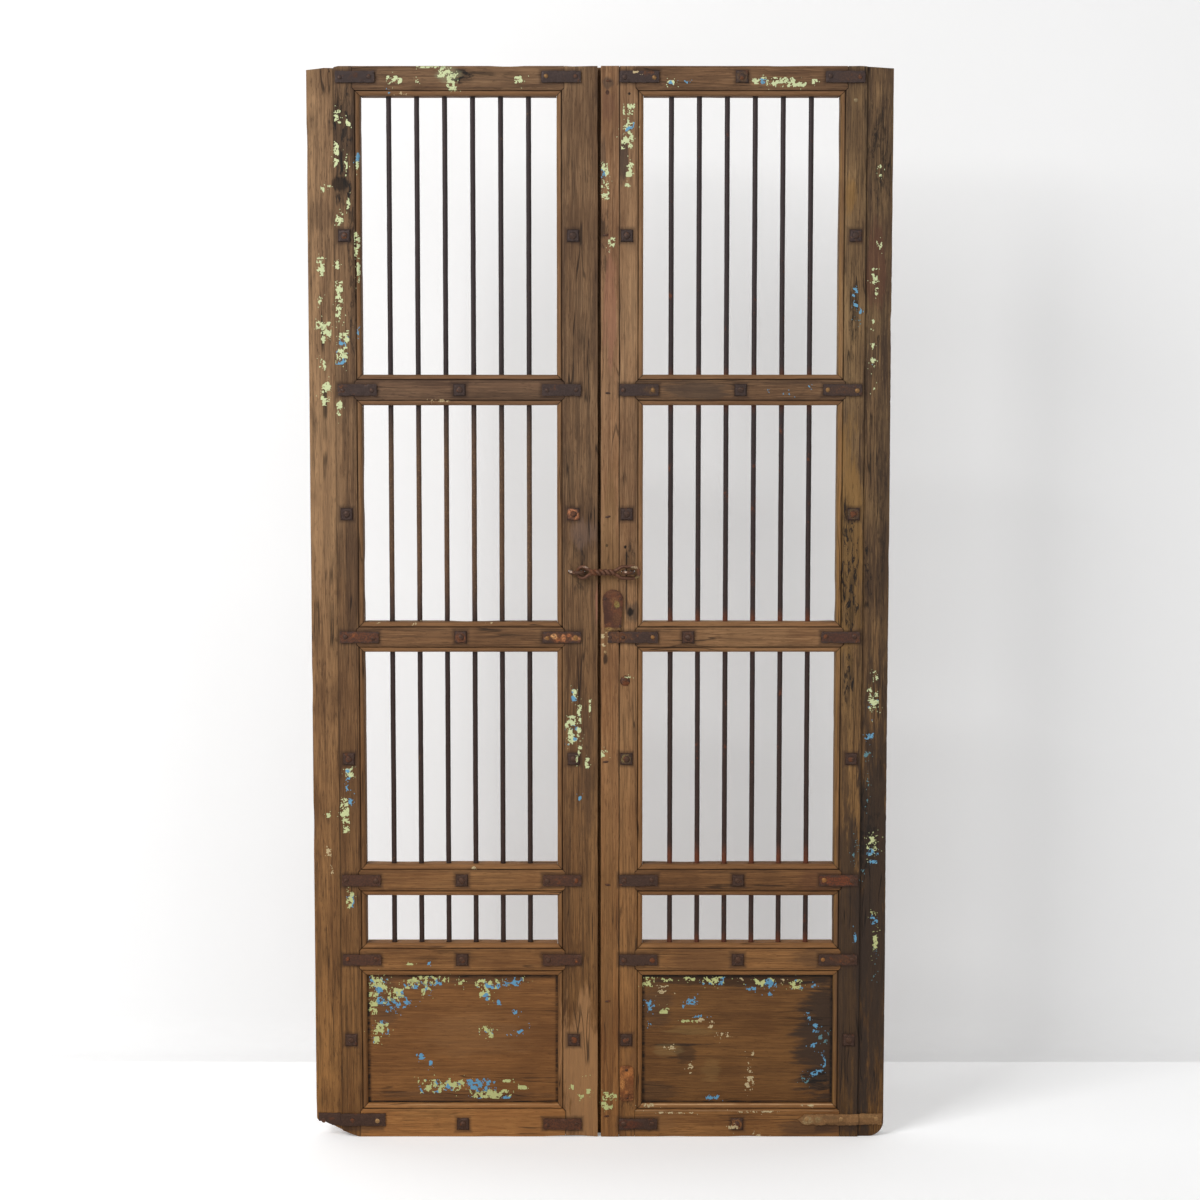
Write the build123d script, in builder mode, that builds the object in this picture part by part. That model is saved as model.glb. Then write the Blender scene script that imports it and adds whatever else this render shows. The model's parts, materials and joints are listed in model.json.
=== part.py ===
from build123d import *
import math
import os

os.makedirs("parts", exist_ok=True)

# A pair of old hardwood jali doors: moulded frames, iron bars let through the rails,
# a foot panel in each leaf, iron straps over the joints, and a two-eyed hasp.
# Millimetres. X runs along the pair from the left leaf's hanging edge, Y runs away
# from the viewer, Z is up. The origin is on the left hanging edge, at mid-thickness
# and mid-height.

# Heights of rails and openings, from the sill up
bottom_rail_height = 65.0
panel_opening_height = 250.0
panel_rail_height = 63.0
foot_opening_height = 92.0
lower_rail_height = 61.0
lower_opening_height = 407.0
lock_rail_height = 58.0
middle_opening_height = 408.0
upper_rail_height = 58.0
top_opening_height = 515.0
top_rail_height = 55.0

# Widths, from the left hanging edge
hanging_stile_width = 100.0
opening_width = 365.0
left_meeting_width = 77.0
right_meeting_width = 80.0
seam_gap = 5.4

# Frame timber
leaf_thickness = 38.0
stop_strip_width = 50.0
stop_strip_depth = 4.0
rebate_depth = 18.0
lap_reach = 6.0
lap_clearance = 5.4
edge_strip_width = 35.0
edge_strip_bed = 13.0
edge_strip_proud = 1.0

# Stuck moulding round every opening
moulding_width = 14.5
moulding_depth = 8.0
bead_width = 8.5
bead_top_depth = 1.2
quirk_width = 2.4
quirk_depth = 3.4

# Joints between rails and stiles
tenon_length = 46.0
tenon_thickness = 12.0
tenon_shoulder = 17.0
joint_clearance = 0.3

# Foot panel
panel_thickness = 13.0
panel_front_depth = 10.0
groove_depth = 10.0

# Iron bars
bar_count = 6
bar_diameter = 10.0
bar_clearance = 0.3
bar_socket = 22.0
bar_head_room = 0.6

# Iron straps and square roves
strap_length = 74.0
strap_height = 22.0
strap_thickness = 3.0
strap_corner = 3.0
strap_outer_set_in = 54.0
strap_meeting_set_in = 31.0
strap_rise = 4.0
lock_strap_lap = 22.0
heel_strap_length = 130.0
heel_strap_set_in = 4.0
heel_strap_height = 25.0
heel_strap_centre = 34.0
toe_strap_length = 163.0
toe_strap_set_in = 3.0
toe_strap_nose = 14.0
rove_size = 24.0
rove_thickness = 3.2
rove_slope = 32.0
rove_set_in = 31.0
lock_rail_rove_shift = -97.0

# Hasp and staples
iron_rod_diameter = 7.0
hasp_above_lock_rail = 95.0
hasp_stand_off = 13.0
captive_wire_set_in = 38.0
eye_width = 28.0
eye_neck = 14.0
right_eye_side = 20.5
twist_length = 46.0
twist_half_turns = 3
twist_steps = 6
strand_overlap = 0.4
left_staple_shift = -1.5
left_staple_span = 23.0
right_staple_set_in = 51.6
right_staple_span = 17.0
captive_gap = 0.3
padlock_room = 7.5
staple_tail = 5.0
staple_bend = 6.0

# Plates on the right leaf
plate_thickness = 2.5
plate_corner = 6.0
lock_plate_width = 40.0
lock_plate_height = 78.0
lock_plate_foot_width = 30.0
lock_plate_set_in = 23.1
lock_plate_gap = 1.5
foot_plate_width = 27.0
foot_plate_height = 70.0
foot_plate_set_in = 50.1
foot_plate_above_sill = 105.0

# Wear at the heels and heads
heel_radius = 8.0
heel_notch_width = 17.0
heel_notch_height = 30.0
heel_slope_end = 53.0
heel_slope_height = 11.0
heel_sill_wear = 1.5
toe_radius = 30.0
left_head_drop = 7.0
right_head_drop = 4.0
head_wear_width = 60.0

# Rail edges, counted from the sill
panel_low = bottom_rail_height
panel_high = panel_low + panel_opening_height
foot_low = panel_high + panel_rail_height
foot_high = foot_low + foot_opening_height
lower_low = foot_high + lower_rail_height
lower_high = lower_low + lower_opening_height
middle_low = lower_high + lock_rail_height
middle_high = middle_low + middle_opening_height
top_low = middle_high + upper_rail_height
top_high = top_low + top_opening_height
leaf_height = top_high + top_rail_height
head = leaf_height / 2
sill = -head

# Each rail: name, lower edge, upper edge, moulded below, moulded above
rails = [
    ("bottom_rail", sill, sill + panel_low, False, True),
    ("panel_rail", sill + panel_high, sill + foot_low, True, True),
    ("lower_rail", sill + foot_high, sill + lower_low, True, True),
    ("lock_rail", sill + lower_high, sill + middle_low, True, True),
    ("upper_rail", sill + middle_high, sill + top_low, True, True),
    ("top_rail", sill + top_high, head, True, False),
]

# Mid-heights of the tall openings and of the panel, where the stiles carry roves
stile_rove_heights = [
    sill + (panel_low + panel_high) / 2,
    sill + (lower_low + lower_high) / 2,
    sill + (middle_low + middle_high) / 2,
    sill + (top_low + top_high) / 2,
]

front = -leaf_thickness / 2
back = leaf_thickness / 2
rod_radius = iron_rod_diameter / 2
hasp_y = front - hasp_stand_off
hasp_height = sill + middle_low + hasp_above_lock_rail

left_open = hanging_stile_width
left_shut = left_open + opening_width
left_leaf_end = left_shut + left_meeting_width
right_leaf_start = left_leaf_end + seam_gap
right_open = right_leaf_start + right_meeting_width
right_shut = right_open + opening_width
pair_width = right_shut + hanging_stile_width
edge_strip_end = right_leaf_start + edge_strip_width
bar_pitch = opening_width / (bar_count + 1)

captive_wire_x = left_leaf_end - captive_wire_set_in
left_staple_x = captive_wire_x + left_staple_shift
right_staple_x = right_leaf_start + right_staple_set_in


def save(part, name):
    """Label a finished piece and write its file."""
    part.label = name
    export_step(part, f"parts/{name}.step")


def face_plane(depth):
    """The upright plane at a depth behind the front face, looking out towards the viewer."""
    return Plane.XZ.offset(-(front + depth))


def block(low, high, mode=Mode.ADD):
    """Add or cut a square block between its lowest and highest corners."""
    size = [b - a for a, b in zip(low, high)]
    middle = tuple((a + b) / 2 for a, b in zip(low, high))
    with Locations(middle):
        Box(*size, mode=mode)


def drill(start, direction, radius, length):
    """Drill a round hole from a point."""
    with BuildSketch(Plane(origin=start, z_dir=direction)) as ring:
        Circle(radius)
    extrude(ring.sketch, amount=length, mode=Mode.SUBTRACT)


def moulded_edge(place):
    """Draw the bead, quirk and bevel from an opening's arris to the flat of the face."""
    drop = moulding_depth - bead_top_depth
    lean = math.radians(45)
    middle = place(bead_width * (1 - math.cos(lean)), bead_top_depth + drop * (1 - math.sin(lean)))
    bead = ThreePointArc(place(0, moulding_depth), middle, place(bead_width, bead_top_depth))
    Polyline(
        bead @ 1,
        place(bead_width + quirk_width / 2, quirk_depth),
        place(bead_width + quirk_width, bead_top_depth),
        place(moulding_width, 0),
    )


def rail_outline(x_low, x_high, z_low, z_high, below, above):
    """The corners of a rail's front, with its ends mitred beside each moulded edge."""
    shoulder = x_low - moulding_width
    lower_end = [(x_low, z_low), (shoulder, z_low + moulding_width)] if below else [(shoulder, z_low)]
    upper_end = [(shoulder, z_high - moulding_width), (x_low, z_high)] if above else [(shoulder, z_high)]
    near_end = lower_end + upper_end
    far_end = [(x_low + x_high - x, z) for x, z in reversed(near_end)]
    return near_end + far_end


def cut_panel_groove(x_low, x_high):
    """Plough the groove that holds the foot panel."""
    near = front + panel_front_depth
    low = (x_low - groove_depth, near, sill + panel_low - groove_depth)
    high = (x_high + groove_depth, near + panel_thickness + joint_clearance, sill + panel_high + groove_depth)
    block(low, high, Mode.SUBTRACT)


def seat_rails(x_low, x_high):
    """Cut one leaf's mitred shoulders, mortises and panel groove into a stile."""
    cheek = tenon_thickness / 2 + joint_clearance
    reach = tenon_length + joint_clearance
    shoulder = tenon_shoulder - joint_clearance
    for name, z_low, z_high, below, above in rails:
        with BuildSketch(face_plane(moulding_depth)) as shoulders:
            with BuildLine():
                Polyline(*rail_outline(x_low, x_high, z_low, z_high, below, above), close=True)
            make_face()
        extrude(shoulders.sketch, amount=moulding_depth, mode=Mode.SUBTRACT)
        low = (x_low - reach, -cheek, z_low + shoulder)
        high = (x_high + reach, cheek, z_high - shoulder)
        block(low, high, Mode.SUBTRACT)
    cut_panel_groove(x_low, x_high)


def shape_stile(arris, out, edge_points):
    """Extrude a stile: moulded along the opening, then out to the edge's own points."""

    def place(across, depth):
        return (arris + out * across, front + depth)

    with BuildSketch(Plane.XY.offset(sill)) as section:
        with BuildLine():
            moulded_edge(place)
            Polyline(
                place(moulding_width, 0),
                *[place(across, depth) for across, depth in edge_points],
                place(0, leaf_thickness),
                place(0, moulding_depth),
            )
        make_face()
    extrude(section.sketch, amount=leaf_height)


def shape_rail(x_low, x_high, z_low, z_high, below, above):
    """Extrude a rail, mitre its moulded shoulders, and leave a tenon at each end."""
    with BuildSketch(Plane.YZ.offset(x_low - moulding_width)) as section:
        with BuildLine():
            if below:
                moulded_edge(lambda across, depth: (front + depth, z_low + across))
            else:
                Line((front, z_low + moulding_width), (front, z_low))
                Line((front, z_low), (front + moulding_depth, z_low))
            if above:
                moulded_edge(lambda across, depth: (front + depth, z_high - across))
            else:
                Line((front, z_high - moulding_width), (front, z_high))
                Line((front, z_high), (front + moulding_depth, z_high))
            Line((front, z_low + moulding_width), (front, z_high - moulding_width))
            Polyline(
                (front + moulding_depth, z_low),
                (back, z_low),
                (back, z_high),
                (front + moulding_depth, z_high),
            )
        make_face()
    extrude(section.sketch, amount=x_high - x_low + 2 * moulding_width)

    middle_x = (x_low + x_high) / 2
    middle_z = (z_low + z_high) / 2
    with BuildSketch(face_plane(moulding_depth)) as mitre_waste:
        with Locations((middle_x, middle_z)):
            Rectangle(x_high - x_low + 4 * moulding_width, z_high - z_low)
        with BuildLine():
            Polyline(*rail_outline(x_low, x_high, z_low, z_high, below, above), close=True)
        make_face(mode=Mode.SUBTRACT)
    extrude(mitre_waste.sketch, amount=moulding_depth, mode=Mode.SUBTRACT)

    for shoulder, out in ((x_low, -1), (x_high, 1)):
        cheeks = sorted([shoulder, shoulder + out * moulding_width])
        block((cheeks[0], front + moulding_depth, z_low), (cheeks[1], back, z_high), Mode.SUBTRACT)
        ends = sorted([shoulder, shoulder + out * tenon_length])
        low = (ends[0], -tenon_thickness / 2, z_low + tenon_shoulder)
        high = (ends[1], tenon_thickness / 2, z_high - tenon_shoulder)
        block(low, high)


def bore_bars(x_low, z_from, z_to):
    """Bore a row of upright holes for the bars."""
    for number in range(1, bar_count + 1):
        start = (x_low + number * bar_pitch, 0, z_from)
        drill(start, (0, 0, 1), bar_diameter / 2 + bar_clearance, z_to - z_from)


def cut_worn_heel():
    """Cut the rotted heel and the worn sill edge of the left leaf."""
    notch = sill + heel_notch_height
    below = sill - heel_notch_height
    with BuildSketch(face_plane(leaf_thickness)) as waste:
        with BuildLine():
            Polyline((left_leaf_end, sill), (left_leaf_end, below), (-heel_radius, below))
            Polyline((-heel_radius, below), (-heel_radius, notch + heel_radius), (0, notch + heel_radius))
            RadiusArc((0, notch + heel_radius), (heel_radius, notch), -heel_radius)
            Line((heel_radius, notch), (heel_notch_width, notch))
            Spline(
                (heel_notch_width, notch),
                (heel_slope_end, sill + heel_slope_height),
                (left_shut, sill + heel_sill_wear),
                (left_leaf_end, sill),
            )
        make_face()
    extrude(waste.sketch, amount=leaf_thickness + strap_thickness, mode=Mode.SUBTRACT)


def cut_worn_toe():
    """Round the worn toe of the right leaf."""
    with BuildSketch(face_plane(leaf_thickness)) as waste:
        with BuildLine():
            RadiusArc((pair_width, sill + toe_radius), (pair_width - toe_radius, sill), toe_radius)
            Polyline((pair_width - toe_radius, sill), (pair_width, sill), (pair_width, sill + toe_radius))
        make_face()
    extrude(waste.sketch, amount=leaf_thickness + strap_thickness, mode=Mode.SUBTRACT)


def cut_worn_head(x_outer, x_inner, drop):
    """Take a low slope off the top of a hanging stile, falling to its outer corner."""
    with BuildSketch(face_plane(leaf_thickness)) as waste:
        with BuildLine():
            Polyline((x_outer, head - drop), (x_inner, head), (x_outer, head), close=True)
        make_face()
    extrude(waste.sketch, amount=leaf_thickness, mode=Mode.SUBTRACT)


def drill_staple_holes(x_middle, z, span):
    """Drill a stile for the two legs of a staple."""
    for leg in (x_middle - span / 2, x_middle + span / 2):
        drill((leg, front, z), (0, 1, 0), rod_radius + joint_clearance, leaf_thickness)


def strap(seat_points, z_middle, height):
    """Forge one strap that lies along its seat, given as points from end to end."""
    outer = [(x, y - strap_thickness) for x, y in reversed(seat_points)]
    with BuildSketch(Plane.XY.offset(z_middle - height / 2)) as section:
        with BuildLine():
            Polyline(*seat_points, *outer, close=True)
        make_face()
    extrude(section.sketch, amount=height)


def flat_strap(x_start, z_middle):
    """Forge a plain strap on the front face."""
    strap([(x_start, front), (x_start + strap_length, front)], z_middle, strap_height)


def strap_height_on(rail):
    """The middle of a rail's flat face, where its straps and rove lie."""
    name, z_low, z_high, below, above = rail
    low = z_low + (moulding_width if below else 0)
    high = z_high - (moulding_width if above else 0)
    return (low + high) / 2


def rove(x, z):
    """Hammer one square rove, bevelled on its four sides."""
    with BuildSketch(face_plane(0)) as base:
        with Locations((x, z)):
            Rectangle(rove_size, rove_size)
    extrude(base.sketch, amount=rove_thickness, taper=rove_slope)


def staple(x_middle, z, span, room):
    """Bend one staple round the hasp's eye, leaving room between the eye and the crown."""
    near = x_middle - span / 2
    far = x_middle + span / 2
    crown = hasp_y - iron_rod_diameter - room
    tail = back + staple_tail
    with BuildLine(Plane.XY.offset(z)) as path:
        FilletPolyline((near, tail), (near, crown), (far, crown), (far, tail), radius=staple_bend)
    with BuildSketch(Plane(origin=(near, tail, z), z_dir=(0, -1, 0))) as rod:
        Circle(rod_radius)
    sweep(rod.sketch, path=path.line)


# Left leaf frame
stop_step = hanging_stile_width - stop_strip_width
hanging_edge = [
    (stop_step, 0),
    (stop_step, stop_strip_depth),
    (hanging_stile_width, stop_strip_depth),
    (hanging_stile_width, leaf_thickness),
]
with BuildPart() as left_hanging_stile:
    shape_stile(left_open, -1, hanging_edge)
    seat_rails(left_open, left_shut)
    cut_worn_heel()
    cut_worn_head(0, head_wear_width, left_head_drop)
save(left_hanging_stile.part, "left_hanging_stile")

rebate_wall = left_meeting_width - lap_reach - lap_clearance
with BuildPart() as left_meeting_stile:
    rebated_edge = [
        (left_meeting_width, 0),
        (left_meeting_width, rebate_depth),
        (rebate_wall, rebate_depth),
        (rebate_wall, leaf_thickness),
    ]
    shape_stile(left_shut, 1, rebated_edge)
    seat_rails(left_open, left_shut)
    cut_worn_heel()
    drill_staple_holes(left_staple_x, hasp_height, left_staple_span)
save(left_meeting_stile.part, "left_meeting_stile")

# Right leaf frame: the meeting stile has a lip that laps behind the left leaf
lip_depth = rebate_depth + lap_clearance
strip_bed = right_meeting_width - edge_strip_width
with BuildPart() as right_meeting_stile:
    lapped_edge = [
        (strip_bed, 0),
        (strip_bed, edge_strip_bed),
        (right_meeting_width, edge_strip_bed),
        (right_meeting_width, lip_depth),
        (right_meeting_width + seam_gap + lap_reach, lip_depth),
        (right_meeting_width + seam_gap + lap_reach, leaf_thickness),
    ]
    shape_stile(right_open, -1, lapped_edge)
    seat_rails(right_open, right_shut)
    drill_staple_holes(right_staple_x, hasp_height, right_staple_span)
save(right_meeting_stile.part, "right_meeting_stile")

with BuildPart() as right_hanging_stile:
    shape_stile(right_shut, 1, hanging_edge)
    seat_rails(right_open, right_shut)
    cut_worn_toe()
    cut_worn_head(pair_width, pair_width - head_wear_width, right_head_drop)
save(right_hanging_stile.part, "right_hanging_stile")

with BuildPart() as right_edge_strip:
    near_corner = (right_leaf_start, front - edge_strip_proud, sill)
    block(near_corner, (edge_strip_end, front + edge_strip_bed, head))
save(right_edge_strip.part, "right_edge_strip")

# Rails of both leaves, bored for the bars
for leaf, x_low, x_high in (("left", left_open, left_shut), ("right", right_open, right_shut)):
    for name, z_low, z_high, below, above in rails:
        with BuildPart() as rail:
            shape_rail(x_low, x_high, z_low, z_high, below, above)
            if name in ("bottom_rail", "panel_rail"):
                cut_panel_groove(x_low, x_high)
            if name == "panel_rail":
                bore_bars(x_low, z_high - bar_socket, z_high)
            if name in ("lower_rail", "lock_rail", "upper_rail"):
                bore_bars(x_low, z_low, z_high)
            if name == "top_rail":
                bore_bars(x_low, z_low, z_low + bar_socket + bar_head_room)
            if name == "bottom_rail" and leaf == "left":
                cut_worn_heel()
        save(rail.part, f"{leaf}_{name}")

    # Foot panel, held in the groove all round
    with BuildPart() as panel:
        edge = groove_depth - joint_clearance
        near_face = front + panel_front_depth
        low = (x_low - edge, near_face, sill + panel_low - edge)
        block(low, (x_high + edge, near_face + panel_thickness, sill + panel_high + edge))
    save(panel.part, f"{leaf}_panel")

    # Bars, each one rod from the panel rail to the top rail
    bar_foot = sill + foot_low - bar_socket
    bar_length = sill + top_high + bar_socket - bar_foot
    with BuildPart() as bars:
        with BuildSketch(Plane.XY.offset(bar_foot)):
            with Locations([(x_low + number * bar_pitch, 0) for number in range(1, bar_count + 1)]):
                Circle(bar_diameter / 2)
        extrude(amount=bar_length)
    save(bars.part, f"{leaf}_bars")

    # Square roves over the rivets of stiles and rails
    with BuildPart() as roves:
        for height in stile_rove_heights:
            rove(x_low - rove_set_in, height)
            rove(x_high + rove_set_in, height)
        for rail_row in rails:
            name = rail_row[0]
            shift = lock_rail_rove_shift if leaf == "right" and name == "lock_rail" else 0
            if leaf == "right" or name != "top_rail":
                rove((x_low + x_high) / 2 + shift, strap_height_on(rail_row))
    save(roves.part, f"{leaf}_roves")

# Straps over the tenoned joints
with BuildPart() as left_straps:
    for rail_row in rails:
        height = strap_height_on(rail_row)
        flat_strap(left_leaf_end - strap_meeting_set_in - strap_length, height)
        if rail_row[0] != "bottom_rail":
            flat_strap(strap_outer_set_in, height)
    fillet(left_straps.edges().filter_by(Axis.Y), strap_corner)
save(left_straps.part, "left_straps")

with BuildPart() as right_straps:
    for rail_row in rails:
        height = strap_height_on(rail_row)
        strap_start = edge_strip_end
        if rail_row[0] == "lock_rail":
            lapped_start = strap_start - lock_strap_lap
            on_strip = front - edge_strip_proud
            seat = [
                (lapped_start, on_strip),
                (strap_start, on_strip),
                (strap_start + edge_strip_proud, front),
                (strap_start + strap_length, front),
            ]
            strap(seat, height, strap_height)
        else:
            flat_strap(strap_start, height)
        if rail_row[0] != "bottom_rail":
            flat_strap(pair_width - strap_outer_set_in - strap_length, height)
    fillet(right_straps.edges().filter_by(Axis.Y), strap_corner)
save(right_straps.part, "right_straps")

# Long straps at the heel and the toe, joggled down over the stop strips
with BuildPart() as left_heel_strap:
    step_y = front + stop_strip_depth
    seat = [
        (heel_strap_set_in, step_y),
        (stop_strip_width - strap_rise, step_y),
        (stop_strip_width, front),
        (heel_strap_set_in + heel_strap_length, front),
    ]
    strap(seat, sill + heel_strap_centre, heel_strap_height)
    cut_worn_heel()
save(left_heel_strap.part, "left_heel_strap")

with BuildPart() as right_toe_strap:
    toe_end = pair_width - toe_strap_set_in
    seat = [
        (toe_end - toe_strap_length, front),
        (pair_width - stop_strip_width, front),
        (pair_width - stop_strip_width + strap_rise, step_y),
        (toe_end, step_y),
    ]
    strap(seat, sill + heel_strap_centre, strap_height)
    nose_edges = right_toe_strap.edges().filter_by(Axis.Y).group_by(Axis.X)[0]
    chamfer(nose_edges, length=strap_height / 2 - 1, length2=toe_strap_nose)
    cut_worn_toe()
save(right_toe_strap.part, "right_toe_strap")

# Staples, one in each meeting stile
with BuildPart() as left_staple:
    staple(left_staple_x, hasp_height, left_staple_span, captive_gap)
save(left_staple.part, "left_staple")

with BuildPart() as right_staple:
    staple(right_staple_x, hasp_height, right_staple_span, padlock_room)
save(right_staple.part, "right_staple")

# Plates: the old lock's plate on the edge strip, and the rusted plate near the foot
with BuildPart() as right_lock_plate:
    with BuildSketch(Plane.XZ.offset(-(front - edge_strip_proud))):
        with BuildLine():
            arch = lock_plate_width / 2
            strap_top = sill + (lower_high + middle_low + strap_height) / 2
            foot_z = strap_top + lock_plate_gap
            top_z = foot_z + lock_plate_height
            middle_x = right_leaf_start + lock_plate_set_in
            left_x = middle_x - arch
            right_x = middle_x + arch
            foot_in = (lock_plate_width - lock_plate_foot_width) / 2
            ThreePointArc((left_x, top_z - arch), (middle_x, top_z), (right_x, top_z - arch))
            Polyline(
                (right_x, top_z - arch),
                (right_x - foot_in, foot_z),
                (left_x + foot_in, foot_z),
                (left_x, top_z - arch),
            )
        make_face()
    extrude(amount=plate_thickness)
save(right_lock_plate.part, "right_lock_plate")

with BuildPart() as right_foot_plate:
    with BuildSketch(face_plane(0)):
        with Locations((right_leaf_start + foot_plate_set_in, sill + foot_plate_above_sill)):
            RectangleRounded(foot_plate_width, foot_plate_height, plate_corner)
    extrude(amount=plate_thickness)
save(right_foot_plate.part, "right_foot_plate")

# Hasp: one rod doubled back on itself, twisted in the middle, an eye left at each end
loop_radius = eye_width / 2 - rod_radius
strand_offset = rod_radius - strand_overlap / 2
neck_rise = loop_radius - strand_offset
neck_turn = 2 * math.atan2(neck_rise, eye_neck)
neck_radius = eye_neck / (2 * math.sin(neck_turn))
twist_start = captive_wire_x + loop_radius + eye_neck
twist_end = twist_start + twist_length


def half_eye(neck_x, way, side_length):
    """Sweep the upper half of an eye, from the twist's end out to the eye's tip."""
    low = hasp_height + strand_offset
    high = hasp_height + loop_radius
    side_x = neck_x + way * eye_neck
    tip_x = side_x + way * side_length

    def bend(x, z, forward, upward, angle):
        along = neck_radius * math.sin(angle)
        return (x + way * forward * along, hasp_y, z + upward * neck_radius * (1 - math.cos(angle)))

    middle = bend(neck_x, low, 1, 1, neck_turn)
    tip_middle = loop_radius * math.cos(math.radians(45))
    with BuildLine() as path:
        ThreePointArc((neck_x, hasp_y, low), bend(neck_x, low, 1, 1, neck_turn / 2), middle)
        ThreePointArc(middle, bend(side_x, high, -1, -1, neck_turn / 2), (side_x, hasp_y, high))
        if side_length > 0:
            Line((side_x, hasp_y, high), (tip_x, hasp_y, high))
        ThreePointArc(
            (tip_x, hasp_y, high),
            (tip_x + way * tip_middle, hasp_y, hasp_height + tip_middle),
            (tip_x + way * loop_radius, hasp_y, hasp_height),
        )
    with BuildSketch(Plane(origin=(neck_x, hasp_y, low), z_dir=(way, 0, 0))) as rod:
        Circle(rod_radius)
    sweep(rod.sketch, path=path.line)


with BuildPart() as hasp:
    half_eye(twist_start, -1, 0)
    half_eye(twist_end, 1, right_eye_side)
    split(bisect_by=Plane.XY.offset(hasp_height), keep=Keep.TOP)
    mirror(about=Plane.XY.offset(hasp_height))
    twist_stations = twist_half_turns * twist_steps
    for station in range(twist_stations + 1):
        angle = math.pi * station / twist_steps
        station_x = twist_start + twist_length * station / twist_stations
        across = (0, math.sin(angle), math.cos(angle))
        with BuildSketch(Plane(origin=(station_x, hasp_y, hasp_height), x_dir=across, z_dir=(1, 0, 0))):
            with Locations((strand_offset, 0), (-strand_offset, 0)):
                Circle(rod_radius)
    loft()
save(hasp.part, "hasp")
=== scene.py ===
"""A pair of old jali doors: worn hardwood, rusted iron, scraps of paint, and a white stage."""

import functools
import json
import math
import random

import bmesh
import bpy
from mathutils import Matrix, Vector, noise
from mathutils.bvhtree import BVHTree

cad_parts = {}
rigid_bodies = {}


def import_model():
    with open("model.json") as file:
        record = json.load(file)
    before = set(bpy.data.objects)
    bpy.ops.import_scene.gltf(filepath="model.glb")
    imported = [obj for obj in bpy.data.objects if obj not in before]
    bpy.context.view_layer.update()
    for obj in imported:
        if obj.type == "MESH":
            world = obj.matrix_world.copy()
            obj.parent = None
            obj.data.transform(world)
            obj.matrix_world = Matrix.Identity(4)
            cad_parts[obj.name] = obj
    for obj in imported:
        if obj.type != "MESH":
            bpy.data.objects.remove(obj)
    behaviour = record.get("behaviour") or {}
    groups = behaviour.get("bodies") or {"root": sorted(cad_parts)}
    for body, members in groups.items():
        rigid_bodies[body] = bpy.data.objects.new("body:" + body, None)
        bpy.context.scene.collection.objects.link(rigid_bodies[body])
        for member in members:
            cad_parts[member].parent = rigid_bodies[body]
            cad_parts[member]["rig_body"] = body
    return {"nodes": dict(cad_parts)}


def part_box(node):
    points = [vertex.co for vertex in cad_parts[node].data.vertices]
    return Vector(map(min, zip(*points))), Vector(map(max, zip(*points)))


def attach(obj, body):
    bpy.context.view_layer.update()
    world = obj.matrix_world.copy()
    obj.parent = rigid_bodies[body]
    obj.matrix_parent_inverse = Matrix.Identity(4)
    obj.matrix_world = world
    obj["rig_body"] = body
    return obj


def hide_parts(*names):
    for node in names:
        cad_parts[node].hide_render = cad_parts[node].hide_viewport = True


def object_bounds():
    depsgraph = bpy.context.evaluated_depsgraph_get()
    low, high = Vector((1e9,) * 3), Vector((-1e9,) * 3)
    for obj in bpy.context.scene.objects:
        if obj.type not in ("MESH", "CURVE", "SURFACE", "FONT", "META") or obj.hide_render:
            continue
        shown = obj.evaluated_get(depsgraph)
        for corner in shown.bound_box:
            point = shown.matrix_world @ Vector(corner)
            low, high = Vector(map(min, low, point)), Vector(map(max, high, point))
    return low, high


bl_info = {
    "name": "Jali Doors",
    "version": (1, 0, 0),
    "blender": (4, 5, 0),
    "location": "3D View > Sidebar > Doors",
    "description": "Dresses a pair of old barred doors in worn wood, rusted iron and old paint",
    "category": "Object",
}

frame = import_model()
cad_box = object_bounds()

MM = 0.001
WHITE = (1.0, 1.0, 1.0, 1.0)
STAGE_WHITE = (0.94, 0.94, 0.94, 1.0)
# Blender takes the seed of its vector noise from the clock unless it is given one
NOISE_SEED = 7

# Planes of the doors, in metres behind the middle of their thickness
FACE = -0.019
BACK = 0.019
# Where a ray that looks for the surface starts, well in front of it
RAY_START = -0.3
# Round bars in each leaf
BARS = 6

# Heights of the rails' edges, and the width of a leaf's opening, as the frame has them
RAIL_NAMES = ("bottom_rail", "panel_rail", "lower_rail", "lock_rail", "upper_rail", "top_rail")
RAIL_EDGES = {
    name: tuple(corner.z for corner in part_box(f"left_{name}")) for name in RAIL_NAMES
}
OPENINGS = {"left": (0.100, 0.465), "right": (0.6274, 0.9924)}
SILL = cad_box[0][2]

# The straps and the square roves, in millimetres: ends of the straps, middles of the rest
STRAP_SPANS = {"left": ((54, 128), (437, 511)), "right": ((582.4, 656.4), (964.4, 1038.4))}
STRAP_MIDDLES = (-990.75, -669.5, -515.5, -49.0, 417.0, 995.75)
STRAP_HALF_LENGTH = 37
STRAP_HALF_HEIGHT = 11
# The part of the right lock strap that laps over the edge strip, in metres
LAPPED_SPAN = (0.5604, 0.5824)
ROVE_COLUMNS = {"left": (69, 496), "right": (596.4, 1023.4)}
ROVE_HEIGHTS = (-826.0, -281.5, 184.0, 703.5)
RAIL_ROVES = {"left": 282.5, "right": 809.9}
LATCH_ROVE = 712.9
LOCK_RAIL_MIDDLE = -49.0
ROVE_HALF = 12


def tone(red, green, blue):
    """A colour as a screen shows it, 0 to 255, made linear for a shader."""
    parts = [value / 255 for value in (red, green, blue)]
    linear = [p / 12.92 if p <= 0.04045 else ((p + 0.055) / 1.055) ** 2.4 for p in parts]
    return (*linear, 1.0)


def scaled(colour, share):
    """A colour made darker or brighter by a share."""
    return tuple(part * share for part in colour[:3]) + (1.0,)


# Shader maths


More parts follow.
